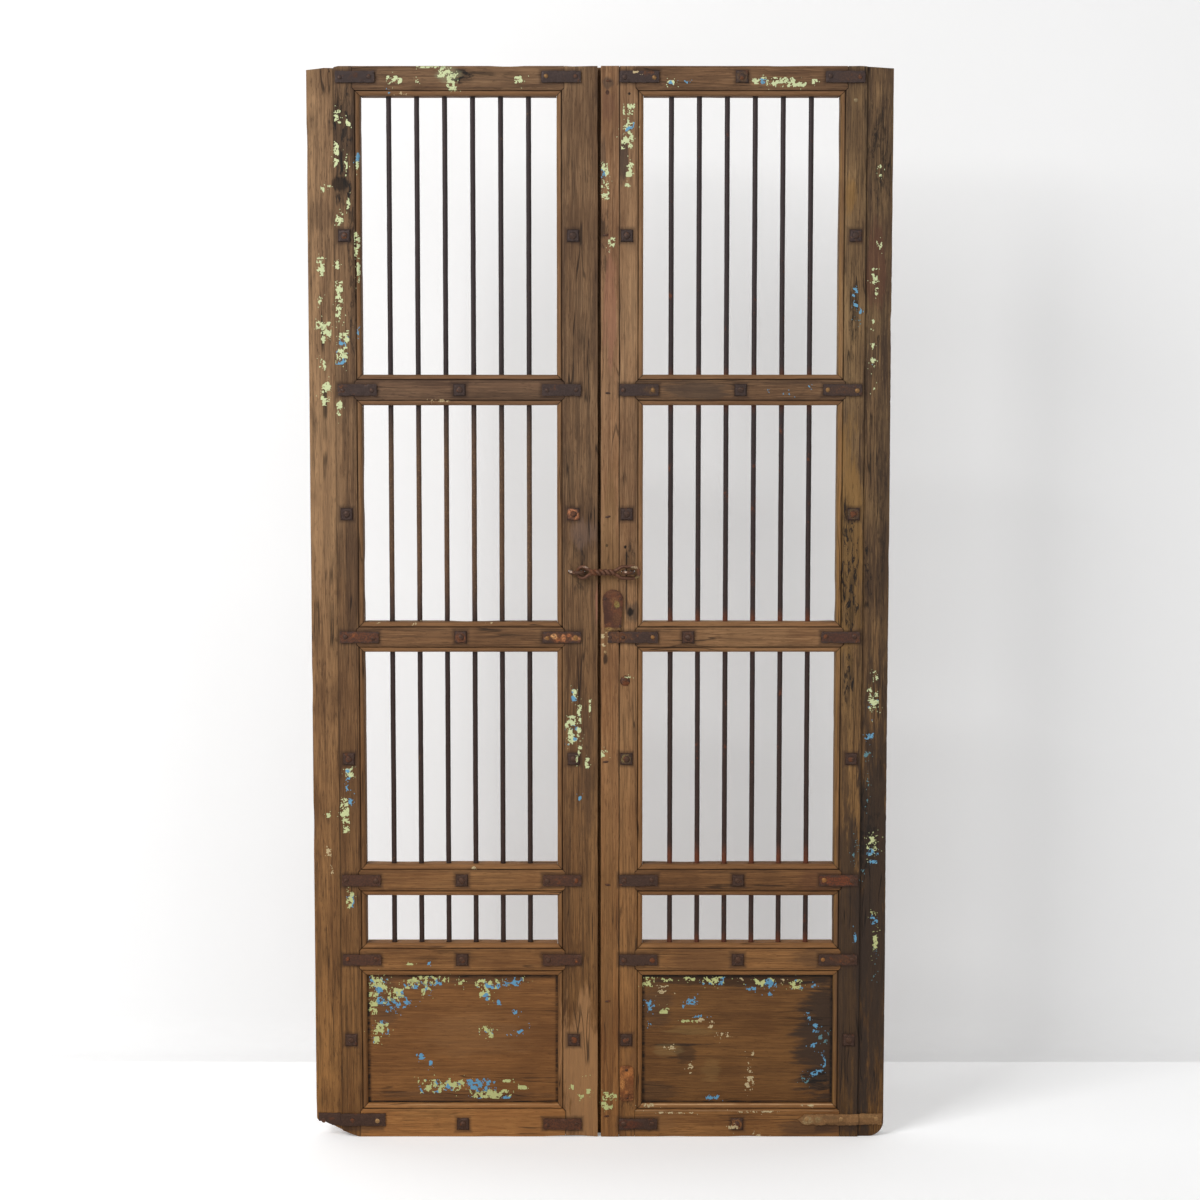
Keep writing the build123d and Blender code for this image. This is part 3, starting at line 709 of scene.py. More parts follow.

# Each piece of wood: the way its grain runs, its tones, its seed, the edges of its mouldings in
# metres (None for the rail's own), its listed stains as x, z, reach across, reach up (mm), colour
# and strength, and the start, end (m) and tones of its outer strip
WOOD_PIECES = {
    "left_hanging_stile": ("z", STILE_TONES, 1.3, (0.100,), (
        (74, 905, 30, 110, DEEP, 0.5), (70, 900, 24, 100, ROT, 0.8),
        (28, 250, 40, 260, PALE_WEAR_AND_HIGHLIGHT, 0.16), (70, 790, 18, 40, ROT, 0.9),
        (62, 800, 16, 14, CRACK_AND_SHADE, 0.8), (84, 640, 9, 190, ROT, 0.7), (76, 420, 20, 60, DULL, 0.5),
        (80, 90, 22, 160, DULL, 0.4), (28, 740, 26, 30, DULL, 0.35),
    ), (0.0, 0.050, tone(108, 80, 56), tone(156, 122, 88))),
    "left_meeting_stile": ("z", STILE_TONES, 2.1, (0.465,), (
        (520, 150, 24, 90, DULL, 0.45), (520, -300, 20, 120, DULL, 0.45),
        (508, 118, 14, 40, ROT, 0.6), (512, 60, 26, 30, ROT, 0.5), (540, 20, 4, 60, PINK, 0.7),
        (512, 150, 26, 30, tone(128, 104, 92), 0.3), (538, 560, 10, 120, DULL, 0.4),
        (512, -900, 60, 170, tone(170, 126, 84), 0.55),
    ), None),
    "right_meeting_stile": ("z", LOW_RAIL_TONES, 3.7, (0.6274,), (
        (596, 60, 2.2, 90, CRACK_AND_SHADE, 0.85), (604, 96, 12, 40, ROT, 0.6),
        (608, -1, 16, 22, GREY_HALO, 0.6), (604, -1, 7, 10, CRACK_AND_SHADE, 0.95),
        (594, 122, 3.4, 4, CRACK_AND_SHADE, 1.0), (601, 965, 3.6, 4, CRACK_AND_SHADE, 1.0),
        (590, 845, 12, 46, GREY_HALO, 0.75), (603, 690, 14, 30, DULL, 0.3),
        (606, 600, 26, 190, PALE_WEAR_AND_HIGHLIGHT, 0.18), (606, 300, 26, 140, DULL, 0.2),
        (608, -890, 16, 60, tone(110, 74, 44), 0.4), (598, -956, 18, 16, ROT, 0.5),
    ), None),
    "right_edge_strip": ("z", STRIP_TONES, 4.4, (), (
        (560, 967, 3.6, 4, CRACK_AND_SHADE, 1.0), (560, 125, 3.4, 4, CRACK_AND_SHADE, 1.0),
        (556, -92, 5, 12, CRACK_AND_SHADE, 0.8), (562, 985, 12, 12, GREY_HALO, 0.6),
        (562, 940, 16, 30, tone(98, 66, 50), 0.5), (552, 845, 8, 50, GREY_HALO, 0.5),
        (554, 680, 10, 90, ROT, 0.55), (552, 716, 8, 20, CRACK_AND_SHADE, 0.6),
        (566, 560, 14, 130, PINK, 0.55), (566, 100, 18, 180, tone(120, 92, 58), 0.4),
        (563, -600, 20, 300, tone(112, 80, 46), 0.4),
    ), None),
    "right_hanging_stile": ("z", HANGING_TONES, 5.9, (0.9924,), (
        (1016, 120, 30, 260, YELLOW, 0.55), (1014, 780, 14, 40, YELLOW, 0.5),
        (1024, -700, 46, 400, DEEP, 0.82), (1070, -560, 44, 480, tone(50, 38, 30), 0.9),
        (1084, 250, 18, 900, DEEP, 0.45), (1062, 640, 24, 90, tone(92, 58, 44), 0.5),
        (1016, 100, 22, 130, ROT, 0.95), (1020, 10, 18, 60, ROT, 1.0),
        (1018, -130, 13, 80, ROT, 0.9), (1018, -8, 15, 34, ROT, 1.0), (1052, 70, 10, 90, ROT, 0.95),
        (1076, 150, 10, 200, ROT, 0.5), (1066, 860, 26, 110, ROT, 0.7),
        (1020, 560, 10, 60, ROT, 0.7), (1056, -420, 24, 120, ROT, 0.7),
        (1012, -300, 10, 120, DULL, 0.4),
    ), (1.0424, 1.0930, tone(64, 48, 36), tone(112, 86, 60))),
    "left_bottom_rail": ("x", BOTTOM_TONES, 6.3, None, (), None),
    "left_panel_rail": ("x", LOW_RAIL_TONES, 7.1, None, (), None),
    "left_lower_rail": ("x", LOW_RAIL_TONES, 8.6, None, (), None),
    "left_lock_rail": ("x", MIDDLE_TONES, 9.2, None, (), None),
    "left_upper_rail": ("x", UPPER_TONES, 10.4, None, ((330, 405, 90, 12, DULL, 0.4),), None),
    "left_top_rail": ("x", RAIL_TONES, 11.8, None, (
        (290, 996, 26, 18, ROT, 0.9), (262, 1000, 26, 16, tone(150, 150, 118), 0.35),
    ), None),
    "right_bottom_rail": ("x", LOW_RAIL_TONES, 12.5, None, (
        (940, -1000, 70, 20, DULL, 0.55), (640, -984, 60, 26, tone(112, 78, 48), 0.4),
    ), None),
    "right_panel_rail": ("x", LOW_RAIL_TONES, 13.9, None, (
        (970, -670, 60, 26, DULL, 0.5), (740, -670, 90, 30, DULL, 0.25),
    ), None),
    "right_lower_rail": ("x", MIDDLE_TONES, 14.2, None, (
        (960, -515, 50, 26, tone(90, 56, 38), 0.4),
    ), None),
    "right_lock_rail": ("x", LOW_RAIL_TONES, 15.6, None, (), None),
    "right_upper_rail": ("x", RAIL_TONES, 16.3, None, (
        (730, 417, 80, 22, GREY_HALO, 0.6), (900, 432, 70, 8, DULL, 0.5),
    ), None),
    "right_top_rail": ("x", MIDDLE_TONES, 17.4, None, ((900, 1004, 60, 8, DULL, 0.4),), None),
    "left_panel": ("x", PANEL_TONES, 18.2, (), (
        (130, -760, 30, 60, DULL, 0.4), (282, -940, 190, 14, DULL, 0.45),
        (282, -708, 190, 12, DULL, 0.5), (300, -820, 120, 50, tone(132, 94, 58), 0.3),
    ), None),
    "right_panel": ("x", RIGHT_PANEL_TONES, 19.7, (), (
        (975, -826, 60, 150, DEEP, 0.9), (640, -930, 60, 30, DEEP, 0.4),
        (810, -712, 190, 14, SOOT_AND_SHADE, 0.7), (700, -838, 70, 3, SOOT_AND_SHADE, 0.8),
        (712, -856, 22, 20, SOOT_AND_SHADE, 0.55), (655, -760, 34, 50, DULL, 0.5),
        (676, -848, 30, 16, tone(150, 126, 82), 0.2), (760, -890, 24, 22, tone(150, 118, 70), 0.18),
        (720, -810, 50, 12, tone(150, 124, 76), 0.2), (962, -905, 30, 26, ROT, 0.8),
    ), None),
}

# Rot and knots sunk one by one: x, z, reach across, reach up, depth (mm)
PITS = {
    "right_hanging_stile": (
        (1013, 154, 14, 70, 4.0), (1010, 30, 12, 60, 4.0), (1014, -80, 12, 70, 3.5),
        (1012, -207, 9, 60, 3.0), (1080, 500, 20, 300, 2.0), (1084, -300, 16, 400, 2.0),
    ),
    "left_hanging_stile": ((70, 920, 18, 60, 3.0), (70, 800, 18, 24, 4.0), (84, 640, 9, 170, 2.0)),
    "right_meeting_stile": ((601, 140, 8, 80, 2.0), (604, -1, 9, 11, 4.0)),
    "left_top_rail": ((290, 996, 26, 18, 3.0),),
    "right_panel": ((965, -826, 60, 150, 1.0), (700, -835, 90, 7, 1.5)),
}


def edges_of(node):
    """The moulded edges of a rail, as heights; a panel has none."""
    rail = node.split("_", 1)[1]
    if rail not in RAIL_EDGES:
        return ()
    low, high = RAIL_EDGES[rail]
    return tuple(edge for edge, end in ((low, "bottom_rail"), (high, "top_rail")) if rail != end)


def borders_of(node):
    """Lines along edges: painted shade by mouldings and steps; pale wear and painted highlight on
    beads.
    """
    leaf, piece = node.split("_", 1)
    if piece == "panel":
        start, end = OPENINGS[leaf]
        low, high = RAIL_EDGES["bottom_rail"][1], RAIL_EDGES["panel_rail"][0]
        # Painted shade along the panel's edges, under the mouldings
        return (
            ("x", start, 0.008, 0.95, CRACK_AND_SHADE), ("x", end, 0.007, 0.95, CRACK_AND_SHADE),
            ("z", low, 0.005, 0.9, CRACK_AND_SHADE), ("z", high, 0.010, 0.95, CRACK_AND_SHADE),
        )
    # Painted shade beside the strips' steps; the yellow line on the right hanging stile's bead and
    # the pale lines on the bottom rails are painted highlights, with some pale wear
    return {
        "left_hanging_stile": (("x", 0.0503, 0.0022, 0.6, CRACK_AND_SHADE),),
        "right_hanging_stile": (
            ("x", 1.0421, 0.0022, 0.5, CRACK_AND_SHADE), ("x", 0.9950, 0.0020, 0.5, YELLOW),
        ),
        "right_edge_strip": (("x", 0.5822, 0.0018, 0.7, CRACK_AND_SHADE), ("x", 0.5700, 0.0010, 0.4, SOOT_AND_SHADE)),
        "right_meeting_stile": (("x", 0.5826, 0.0018, 0.7, CRACK_AND_SHADE),),
        "right_bottom_rail": (
            ("z", -0.9535, 0.0016, 0.9, PALE_WEAR_AND_HIGHLIGHT), ("z", -0.9650, 0.0010, 0.5, PALE_WEAR_AND_HIGHLIGHT),
        ),
        "left_bottom_rail": (("z", -0.9535, 0.0014, 0.5, PALE_WEAR_AND_HIGHLIGHT),),
    }.get(node, ())


class DOORS_OT_wood(bpy.types.Operator):
    """Give every stile, rail and panel its own old hardwood."""

    bl_idname = "doors.dress_wood"
    bl_label = "Dress the wood"

    def execute(self, context):
        looks = context.scene.jali_doors
        for node, (along, tones, seed, edges, spots, strip) in WOOD_PIECES.items():
            if edges is None:
                edges = edges_of(node)
            calm = 0.2 if "stile" in node else 0.45 if "rail" in node else 0.7
            cracks = 0.85 - calm * 0.5
            finish = wood_finish(
                node, along, tones, seed, edges, spots, strip, borders_of(node), calm, cracks
            )
            slice_step = 0.009 if node == "right_hanging_stile" else 0.013
            pits = PITS.get(node, ())
            shape = worn_copy(node, along, seed, slice_step, looks.wear, looks.chips, pits)
            body = f"{node.split('_')[0]}_leaf"
            piece = settle(f"worn_{node}", shape, body, [finish])
            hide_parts(node)
        return {"FINISHED"}


# Iron

ORANGE = tone(132, 82, 50)
# Painted glints on the staples and the hasp
PAINTED_GLINT = tone(214, 198, 184)
# Forged nodes: seed, dents and bite in metres
FORGED = {
    "left_straps": (1.0, 0.00035, 0.0022), "right_straps": (2.0, 0.00035, 0.0024),
    "left_roves": (3.0, 0.0003, 0.0016), "right_roves": (4.0, 0.0003, 0.0018),
    "left_heel_strap": (5.0, 0.0004, 0.0024), "right_toe_strap": (6.0, 0.0004, 0.0034),
    "right_lock_plate": (7.0, 0.0004, 0.0024), "right_foot_plate": (8.0, 0.0005, 0.0030),
}
# Distance between cuts across forged iron, close enough for its dents
FORGED_CUT = 0.0037

# Each node's skin: base, rust (the settings' own where None), bright rust, seed, amount of rust,
# and listed crusts and painted glints: x, z, reach across, reach up (mm), colour, strength
IRON_SKINS = {
    "left_straps": (None, None, ORANGE, 1.1, 0.3, (
        (474, -49, 46, 12, tone(110, 72, 48), 0.8), (446, -51, 7, 5, tone(190, 150, 108), 0.9),
        (459, -47, 8, 6, tone(212, 166, 116), 0.95), (467, -53, 5, 4, tone(140, 88, 56), 0.9),
        (477, -49, 6, 8, tone(192, 132, 90), 0.9), (488, -45, 6, 4, tone(158, 100, 66), 0.9),
        (500, -51, 9, 5, tone(190, 140, 98), 0.95),
        (90, -49, 50, 13, tone(112, 68, 42), 0.6), (82, -44, 8, 5, tone(150, 92, 54), 0.6),
        (91, 996, 60, 20, tone(40, 33, 32), 0.6), (90, -515, 60, 16, tone(84, 56, 42), 0.5),
        (90, -669, 60, 16, tone(84, 56, 42), 0.5), (474, -515, 60, 16, tone(84, 56, 42), 0.5),
        (474, -669, 60, 16, tone(84, 56, 42), 0.5), (474, -991, 60, 16, tone(96, 62, 44), 0.6),
    )),
    "right_straps": (None, None, ORANGE, 2.3, 0.35, (
        (1000, -515, 44, 12, tone(112, 64, 40), 0.8), (1000, -49, 40, 12, tone(88, 54, 40), 0.6),
        (584, -49, 26, 12, tone(112, 76, 48), 0.7), (1010, -669, 30, 10, tone(80, 58, 40), 0.5),
        (1000, 417, 40, 10, tone(88, 62, 44), 0.5), (640, 417, 18, 10, tone(104, 76, 46), 0.5),
        (1010, 996, 30, 10, tone(84, 60, 46), 0.5), (600, -991, 30, 10, tone(90, 50, 34), 0.6),
    )),
    "left_roves": (None, None, ORANGE, 3.1, 0.25, (
        (496, 184, 15, 15, tone(176, 118, 82), 0.95), (282, -49, 13, 13, tone(136, 84, 50), 0.7),
    )),
    "right_roves": (None, None, ORANGE, 4.8, 0.35, (
        (810, -991, 13, 13, tone(140, 102, 62), 0.8), (810, 996, 13, 13, tone(104, 78, 48), 0.7),
        (1023, 184, 13, 13, tone(104, 84, 52), 0.6), (596, -281, 10, 10, tone(150, 140, 90), 0.6),
        (713, -49, 13, 13, tone(96, 62, 40), 0.5),
    )),
    "left_heel_strap": (None, None, ORANGE, 5.2, 0.3, ()),
    "right_toe_strap": (tone(106, 86, 62), tone(120, 97, 70), tone(152, 134, 102), 6.6, 0.7, (
        (946, -984, 14, 8, tone(146, 142, 116), 0.8), (966, -981, 10, 8, tone(132, 128, 102), 0.7),
        (990, -978, 20, 6, tone(84, 72, 56), 0.7), (1020, -990, 60, 5, tone(74, 58, 42), 0.7),
        (1060, -976, 30, 5, tone(138, 120, 88), 0.6),
    )),
    # The staples' pale spots are painted glints
    "left_staple": (tone(70, 52, 42), None, tone(150, 120, 96), 7.3, 0.7, (
        (491, 78, 4, 4, PAINTED_GLINT, 0.8),
    )),
    "right_staple": (tone(70, 52, 42), None, tone(150, 120, 96), 8.3, 0.7, (
        (594, 77, 4, 3, PAINTED_GLINT, 0.8),
    )),
    "right_lock_plate": (tone(70, 47, 38), tone(94, 60, 42), tone(124, 92, 62), 10.7, 0.7, (
        (577, 14, 7, 8, tone(150, 144, 80), 0.8), (573, 20, 10, 8, tone(122, 86, 56), 0.7),
        (556, -10, 10, 30, tone(52, 36, 32), 0.7), (578, -14, 8, 18, tone(98, 70, 48), 0.7),
        (560, -33, 12, 5, tone(150, 128, 80), 0.8), (580, -34, 12, 5, tone(118, 96, 58), 0.7),
        (566, 36, 18, 5, tone(112, 78, 54), 0.6),
    )),
    "right_foot_plate": (tone(98, 68, 44), tone(140, 98, 60), tone(186, 140, 88), 11.5, 0.6, (
        (598, -940, 18, 13, tone(62, 41, 30), 0.95), (598, -879, 20, 5, tone(84, 52, 34), 0.8),
        (589, -912, 6, 16, tone(190, 146, 92), 0.6), (606, -904, 6, 12, tone(104, 62, 36), 0.7),
        (600, -892, 8, 6, tone(176, 124, 74), 0.6), (590, -928, 8, 6, tone(96, 58, 34), 0.7),
    )),
}


def clothe(node, finish):
    """Give a CAD node a finish of its own."""
    mesh = frame["nodes"][node].data
    if not mesh.materials:
        mesh.materials.append(finish)
    for index in range(len(mesh.materials)):
        mesh.materials[index] = finish


def cuts_of(node):
    """Heights and columns at which forged iron is cut, so that dents can bend it."""
    leaf = node.split("_")[0]
    if "straps" in node:
        heights = [middle + step for middle in STRAP_MIDDLES for step in (-7.5, -3.7, 0, 3.7, 7.5)]
        spans = [(start * MM, end * MM) for start, end in STRAP_SPANS[leaf]]
        if leaf == "right":
            spans.insert(0, LAPPED_SPAN)
        columns = [x for span in spans for x in steps_between(*span, FORGED_CUT)]
        return [z * MM for z in heights], columns
    if "roves" in node:
        spread = (-9, -6, -3, 0, 3, 6, 9)
        middles = ROVE_COLUMNS[leaf] + (RAIL_ROVES[leaf],)
        if leaf == "right":
            middles += (LATCH_ROVE,)
        heights = [(z + step) * MM for z in ROVE_HEIGHTS + STRAP_MIDDLES for step in spread]
        return heights, [(x + step) * MM for x in middles for step in spread]
    low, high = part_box(node)
    return steps_between(low.z, high.z, FORGED_CUT), steps_between(low.x, high.x, FORGED_CUT)


class DOORS_OT_iron(bpy.types.Operator):
    """Forge the straps, roves and plates, and give all small iron its rust."""

    bl_idname = "doors.dress_iron"
    bl_label = "Dress the iron"

    def execute(self, context):
        looks = context.scene.jali_doors
        for node, (base, rust, bright, seed, amount, spots) in IRON_SKINS.items():
            base = base or tuple(looks.iron)
            rust = rust or tuple(looks.rust)
            finish = iron_finish(f"iron_{node}", base, rust, bright, seed, amount, spots)
            if node not in FORGED:
                clothe(node, finish)
                continue
            shape = forged_copy(node, *cuts_of(node), *FORGED[node])
            slot = "rusted_iron" if node == "right_foot_plate" else "dark_iron"
            body = f"{node.split('_')[0]}_leaf"
            piece = settle(f"forged_{node}", shape, body, [finish])
            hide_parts(node)
        return {"FINISHED"}


class DOORS_OT_hasp(bpy.types.Operator):
    """Forge the hasp: one closed rod, its strands twisted together between an eye at each end."""

    bl_idname = "doors.forge_hasp"
    bl_label = "Forge the hasp"

    rod_radius: bpy.props.FloatProperty(
        name="Rod radius", description="Radius of the hasp's rod", default=0.0034, unit="LENGTH"
    )
    half_turns: bpy.props.IntProperty(
        name="Half turns", description="Half turns of the twist", default=5
    )

    def execute(self, context):
        low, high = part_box("hasp")
        centre = (low + high) / 2
        # Millimetres: half the width of an eye, how far the strands lie off the middle line, the
        # ends of the twist, and stations along the eyes as x and half the width there
        reach = 10.5
        neck_offset = 3.1
        twist_start, twist_end = 528.5, 574.5
        left_eye = ((521.5, 6.9), (514.5, reach), (507.1, 7.4))
        right_eye = ((581.5, 6.9), (588.5, reach), (598.5, reach), (609.0, reach), (616.4, 7.4))

        def strand(start_angle, backwards):
            stations = 4 * self.half_turns
            points = []
            for number in range(stations + 1):
                share = number / stations
                angle = start_angle + math.pi * self.half_turns * share
                x = twist_start + (twist_end - twist_start) * share
                points.append((x, neck_offset * math.cos(angle), neck_offset * math.sin(angle)))
            return points[::-1] if backwards else points

        # Out along the upper strand, round the right eye, back along the other, round the left eye
        side = 1 if self.half_turns % 2 == 0 else -1
        out = strand(math.pi / 2, False)
        home = strand(-math.pi / 2, True)
        round_right = [(x, 0, side * z) for x, z in right_eye] + [(619.5, 0, 0)]
        round_right += [(x, 0, -side * z) for x, z in reversed(right_eye)]
        round_left = [(x, 0, -z) for x, z in left_eye] + [(504.0, 0, 0)]
        round_left += [(x, 0, z) for x, z in reversed(left_eye)]
        points = out + round_right + home + round_left

        curve = bpy.data.curves.new("hasp_rod", "CURVE")
        curve.dimensions = "3D"
        curve.bevel_depth = self.rod_radius
        curve.bevel_resolution = 3
        curve.resolution_u = 5
        spline = curve.splines.new("BEZIER")
        spline.bezier_points.add(len(points) - 1)
        for point, (x, y, z) in zip(spline.bezier_points, points):
            point.co = (x * MM, centre.y + y * MM, centre.z + z * MM)
            point.handle_left_type = point.handle_right_type = "AUTO"
        spline.use_cyclic_u = True
        holder = bpy.data.objects.new("hasp_rod", curve)
        bpy.context.scene.collection.objects.link(holder)
        context.view_layer.update()
        mesh = bpy.data.meshes.new_from_object(holder)
        bpy.data.objects.remove(holder)
        shape = bmesh.new()
        shape.from_mesh(mesh)
        bmesh.ops.remove_doubles(shape, verts=shape.verts, dist=1e-5)
        bmesh.ops.recalc_face_normals(shape, faces=shape.faces)
        hammered(shape, shape.verts, 0.0003, 3.0)
        # The pale spots along the hasp's top and at the ends of its eyes are painted glints
        spots = (
            (501, 89, 7, 4, PAINTED_GLINT, 0.7), (612, 84, 8, 4, tone(196, 182, 150), 0.7),
            (522, 86, 9, 3, PAINTED_GLINT, 0.7), (616, 66, 6, 4, tone(150, 140, 90), 0.6),
            (596, 76, 8, 3, PAINTED_GLINT, 0.5),
        )
        tones = (tone(84, 60, 48), tone(96, 62, 42), tone(140, 100, 74))
        finish = iron_finish("iron_hasp", *tones, 9.9, 0.7, spots)
        piece = settle("forged_hasp", shape, "hasp", [finish])
        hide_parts("hasp")
        return {"FINISHED"}


# The bars' skins: rust, bright rust, seed, amount of rust, and rusty bands: z, reach (m), strength
BAR_TONE = tone(46, 38, 38)
BAR_SKINS = {
    "left": (tone(100, 76, 56), tone(168, 138, 98), 21.0, 0.1, ((0.184, 0.230, 0.75),)),
    "right": (tone(104, 58, 36), tone(150, 84, 44), 34.0, 0.2, (
        (-0.040, 0.05, 0.8), (0.417, 0.05, 0.6), (-0.500, 0.06, 0.7), (-0.66, 0.05, 0.6),
    )),
}


class DOORS_OT_bars(bpy.types.Operator):
    """Forge the round bars of both leaves, a little out of true, in place of the plain rods."""

    bl_idname = "doors.forge_bars"
    bl_label = "Forge the bars"

    rings: bpy.props.IntProperty(
        name="Rings", description="Rings of faces along a bar", default=104
    )
    sides: bpy.props.IntProperty(name="Sides", description="Faces round a bar", default=12)

    def execute(self, context):
        looks = context.scene.jali_doors
        for leaf, (rust, bright, seed, amount, bands) in BAR_SKINS.items():
            node = f"{leaf}_bars"
            low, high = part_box(node)
            start, end = OPENINGS[leaf]
            shape = bmesh.new()
            for number in range(1, BARS + 1):
                centre_x = start + (end - start) * number / (BARS + 1)
                middle = Vector((centre_x, 0, (low.z + high.z) / 2))
                made = bmesh.ops.create_cone(
                    shape, cap_ends=True, segments=self.sides, radius1=looks.bar_radius,
                    radius2=looks.bar_radius, depth=high.z - low.z,
                    matrix=Matrix.Translation(middle),
                )
                verts = set(made["verts"])
                long_edges = [
                    edge for edge in shape.edges
                    if edge.verts[0] in verts and abs(edge.verts[0].co.z - edge.verts[1].co.z) > 0.1
                ]
                bmesh.ops.subdivide_edges(
                    shape, edges=long_edges, cuts=self.rings, use_grid_fill=True
                )
            for vert in shape.verts:
                column = round((vert.co.x - start) / (end - start) * (BARS + 1))
                centre_x = start + (end - start) * column / (BARS + 1)
                arm = Vector((vert.co.x - centre_x, vert.co.y, 0))
                dents = noise.noise(Vector((vert.co.x * 90, vert.co.y * 90, vert.co.z * 38 + seed)))
                sway_x = noise.noise(Vector((column * 3.1, seed, vert.co.z * 4)))
                sway_y = noise.noise(Vector((column * 5.3, seed + 9, vert.co.z * 4)))
                vert.co += arm.normalized() * dents * looks.bar_wobble
                vert.co += Vector((sway_x, sway_y, 0)) * looks.bar_wobble
            bmesh.ops.recalc_face_normals(shape, faces=shape.faces)
            finish = iron_finish(
                f"iron_{leaf}_bars", BAR_TONE, rust, bright, seed, amount, bands=bands
            )
            piece = settle(f"{leaf}_forged_bars", shape, f"{leaf}_leaf", [finish])
            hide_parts(node)
        return {"FINISHED"}


# Nails, rivets and bolts

# Places in millimetres, as x and z: nails of the plates, and nails clenched along the edge strip
PLATE_NAILS = ((557, -28), (584, -28), (556, 24), (585, 24), (597, -884), (598, -938), (566, -49))
CLENCHED = (
    (562, 988), (557, 705), (561, 411), (561, 179), (557, -287), (561, -524), (561, -750),
    (559, -975),
)
# Where the nail heads' materials stand in their list
DARK, PALE_HEAD, GOLDEN_HEAD = range(3)
# Strap nails that have kept a golden skin, and how near one of these places such a nail is
GOLDEN_REACH = 6
GOLDEN = (
    (447, 996), (646, 996), (646, 417), (974, 417), (1028, 417), (974, -669), (974, -515),
    (447, -49), (500, -49), (646, -49),
)
# Skins of the nail heads, in that order: name, tones, seed, amount of rust
NAIL_SKINS = (
    ("iron", (tone(60, 46, 40), tone(98, 60, 38), tone(150, 96, 56)), 41.0, 0.6),
    ("pale", (tone(126, 108, 80), tone(108, 84, 56), tone(160, 142, 106)), 43.0, 0.4),
    ("golden", (tone(118, 88, 54), tone(96, 66, 42), tone(190, 152, 98)), 47.0, 0.5),
)


def rove_places():
    """All square roves: those in the stiles, and those at the middle of each rail."""
    places = [
        (leaf, x, z) for z in ROVE_HEIGHTS for leaf in ("left", "right") for x in ROVE_COLUMNS[leaf]
    ]
    for z in STRAP_MIDDLES:
        if z != STRAP_MIDDLES[-1]:
            places.append(("left", RAIL_ROVES["left"], z))
        places.append(("right", LATCH_ROVE if z == LOCK_RAIL_MIDDLE else RAIL_ROVES["right"], z))
    return places


class DOORS_OT_fasteners(bpy.types.Operator):
    """Add the nail heads, the peened bolts in the roves, the clenched nails, and their backs."""

    bl_idname = "doors.add_fasteners"
    bl_label = "Add the nails and bolts"

    def execute(self, context):
        looks = context.scene.jali_doors
        radius = looks.nail_radius
        for leaf in ("left", "right"):
            rng = random.Random(f"{leaf} nails")
            surface = front_of(f"{leaf}_leaf")
            shape = bmesh.new()

            def head(x, z, size, rise, tall=1.0, turn=0.0, index=DARK):
                y = depth_at(surface, x * MM, z * MM)
                if y is None:
                    raise RuntimeError(f"no wood or iron behind the nail at {x}, {z}")
                place = Vector((x * MM, y, z * MM))
                paint_faces(dome(shape, place, size, rise, rng.uniform(0, 90), tall, turn), index)

            def back_head(x, z, size, rise):
                place = Vector((x * MM, BACK, z * MM))
                dome(shape, place, size, rise, rng.uniform(0, 90), rng.uniform(0.85, 1.1))

            for rove_leaf, x, z in rove_places():
                if rove_leaf == leaf:
                    head(x, z, 0.0064, 0.0026, rng.uniform(0.85, 1.1))
                    back_head(x, z, 0.0105, 0.0036)
            outer_strap = STRAP_SPANS[leaf][0 if leaf == "left" else 1]
            for z in STRAP_MIDDLES:
                for start, end in STRAP_SPANS[leaf]:
                    if z == STRAP_MIDDLES[0] and (start, end) == outer_strap:
                        continue  # The heel or toe strap is there instead
                    for x in (start + 9, end - 10):
                        x += rng.uniform(-1.5, 1.5)
                        up = rng.uniform(-1.5, 1.5)
                        golden = any(
                            abs(x - gold_x) < GOLDEN_REACH and abs(z - gold_z) < GOLDEN_REACH
                            for gold_x, gold_z in GOLDEN
                        )
                        skin = GOLDEN_HEAD if golden else DARK
                        head(x, z + up, radius * rng.uniform(0.85, 1.2), 0.0019, index=skin)
                        back_head(x, z + up, radius * 1.2, 0.0016)
            if leaf == "left":
                for x in (14, 70, 118):
                    head(x, -984, radius, 0.0014, index=PALE_HEAD if x == 118 else DARK)
            else:
                for x, z in CLENCHED:
                    head(x, z, 0.0052, 0.0016, 0.42, rng.uniform(-0.25, 0.25))
                # A broad bolt head with a boss, under the lock plate
                head(594, -132, 0.0100, 0.0036)
                head(594, -132, 0.0045, 0.0058)
                head(1021, 953, 0.0040, 0.0018, index=PALE_HEAD)
                head(556, -77, 0.0034, 0.0020, index=PALE_HEAD)
                for x in (944, 1010, 1078):
                    head(x, -981, radius, 0.0014, index=PALE_HEAD)
                for x, z in PLATE_NAILS:
                    head(x, z, 0.0030, 0.0013)
            skins = [
                iron_finish(f"{name}_{leaf}_nails", *tones, seed, amount)
                for name, tones, seed, amount in NAIL_SKINS
            ]
            settle(f"{leaf}_nails", shape, f"{leaf}_leaf", skins)
        return {"FINISHED"}


# Coats, in the order of the scraps' materials. Mixed scraps are lime with blue along one side.
LIME, BLUE, CREAM, TEAL, MIXED = range(5)
# Size of a scrap's faces, in metres
SCRAP_CELL = 0.0012
# How much of a scrap has stayed on, for each coat: more of a small scrap (square millimetres), and
# less beyond the start of the right leaf's outer strip (millimetres)
HOLD = {LIME: 0.2, BLUE: 0.02, CREAM: -0.02, TEAL: -0.1, MIXED: 0.2}
SMALL_SCRAP = 120
STRIP_START = 1040
# A face spanning more depth than this lies over an edge, in metres
STEP_LIMIT = 0.003
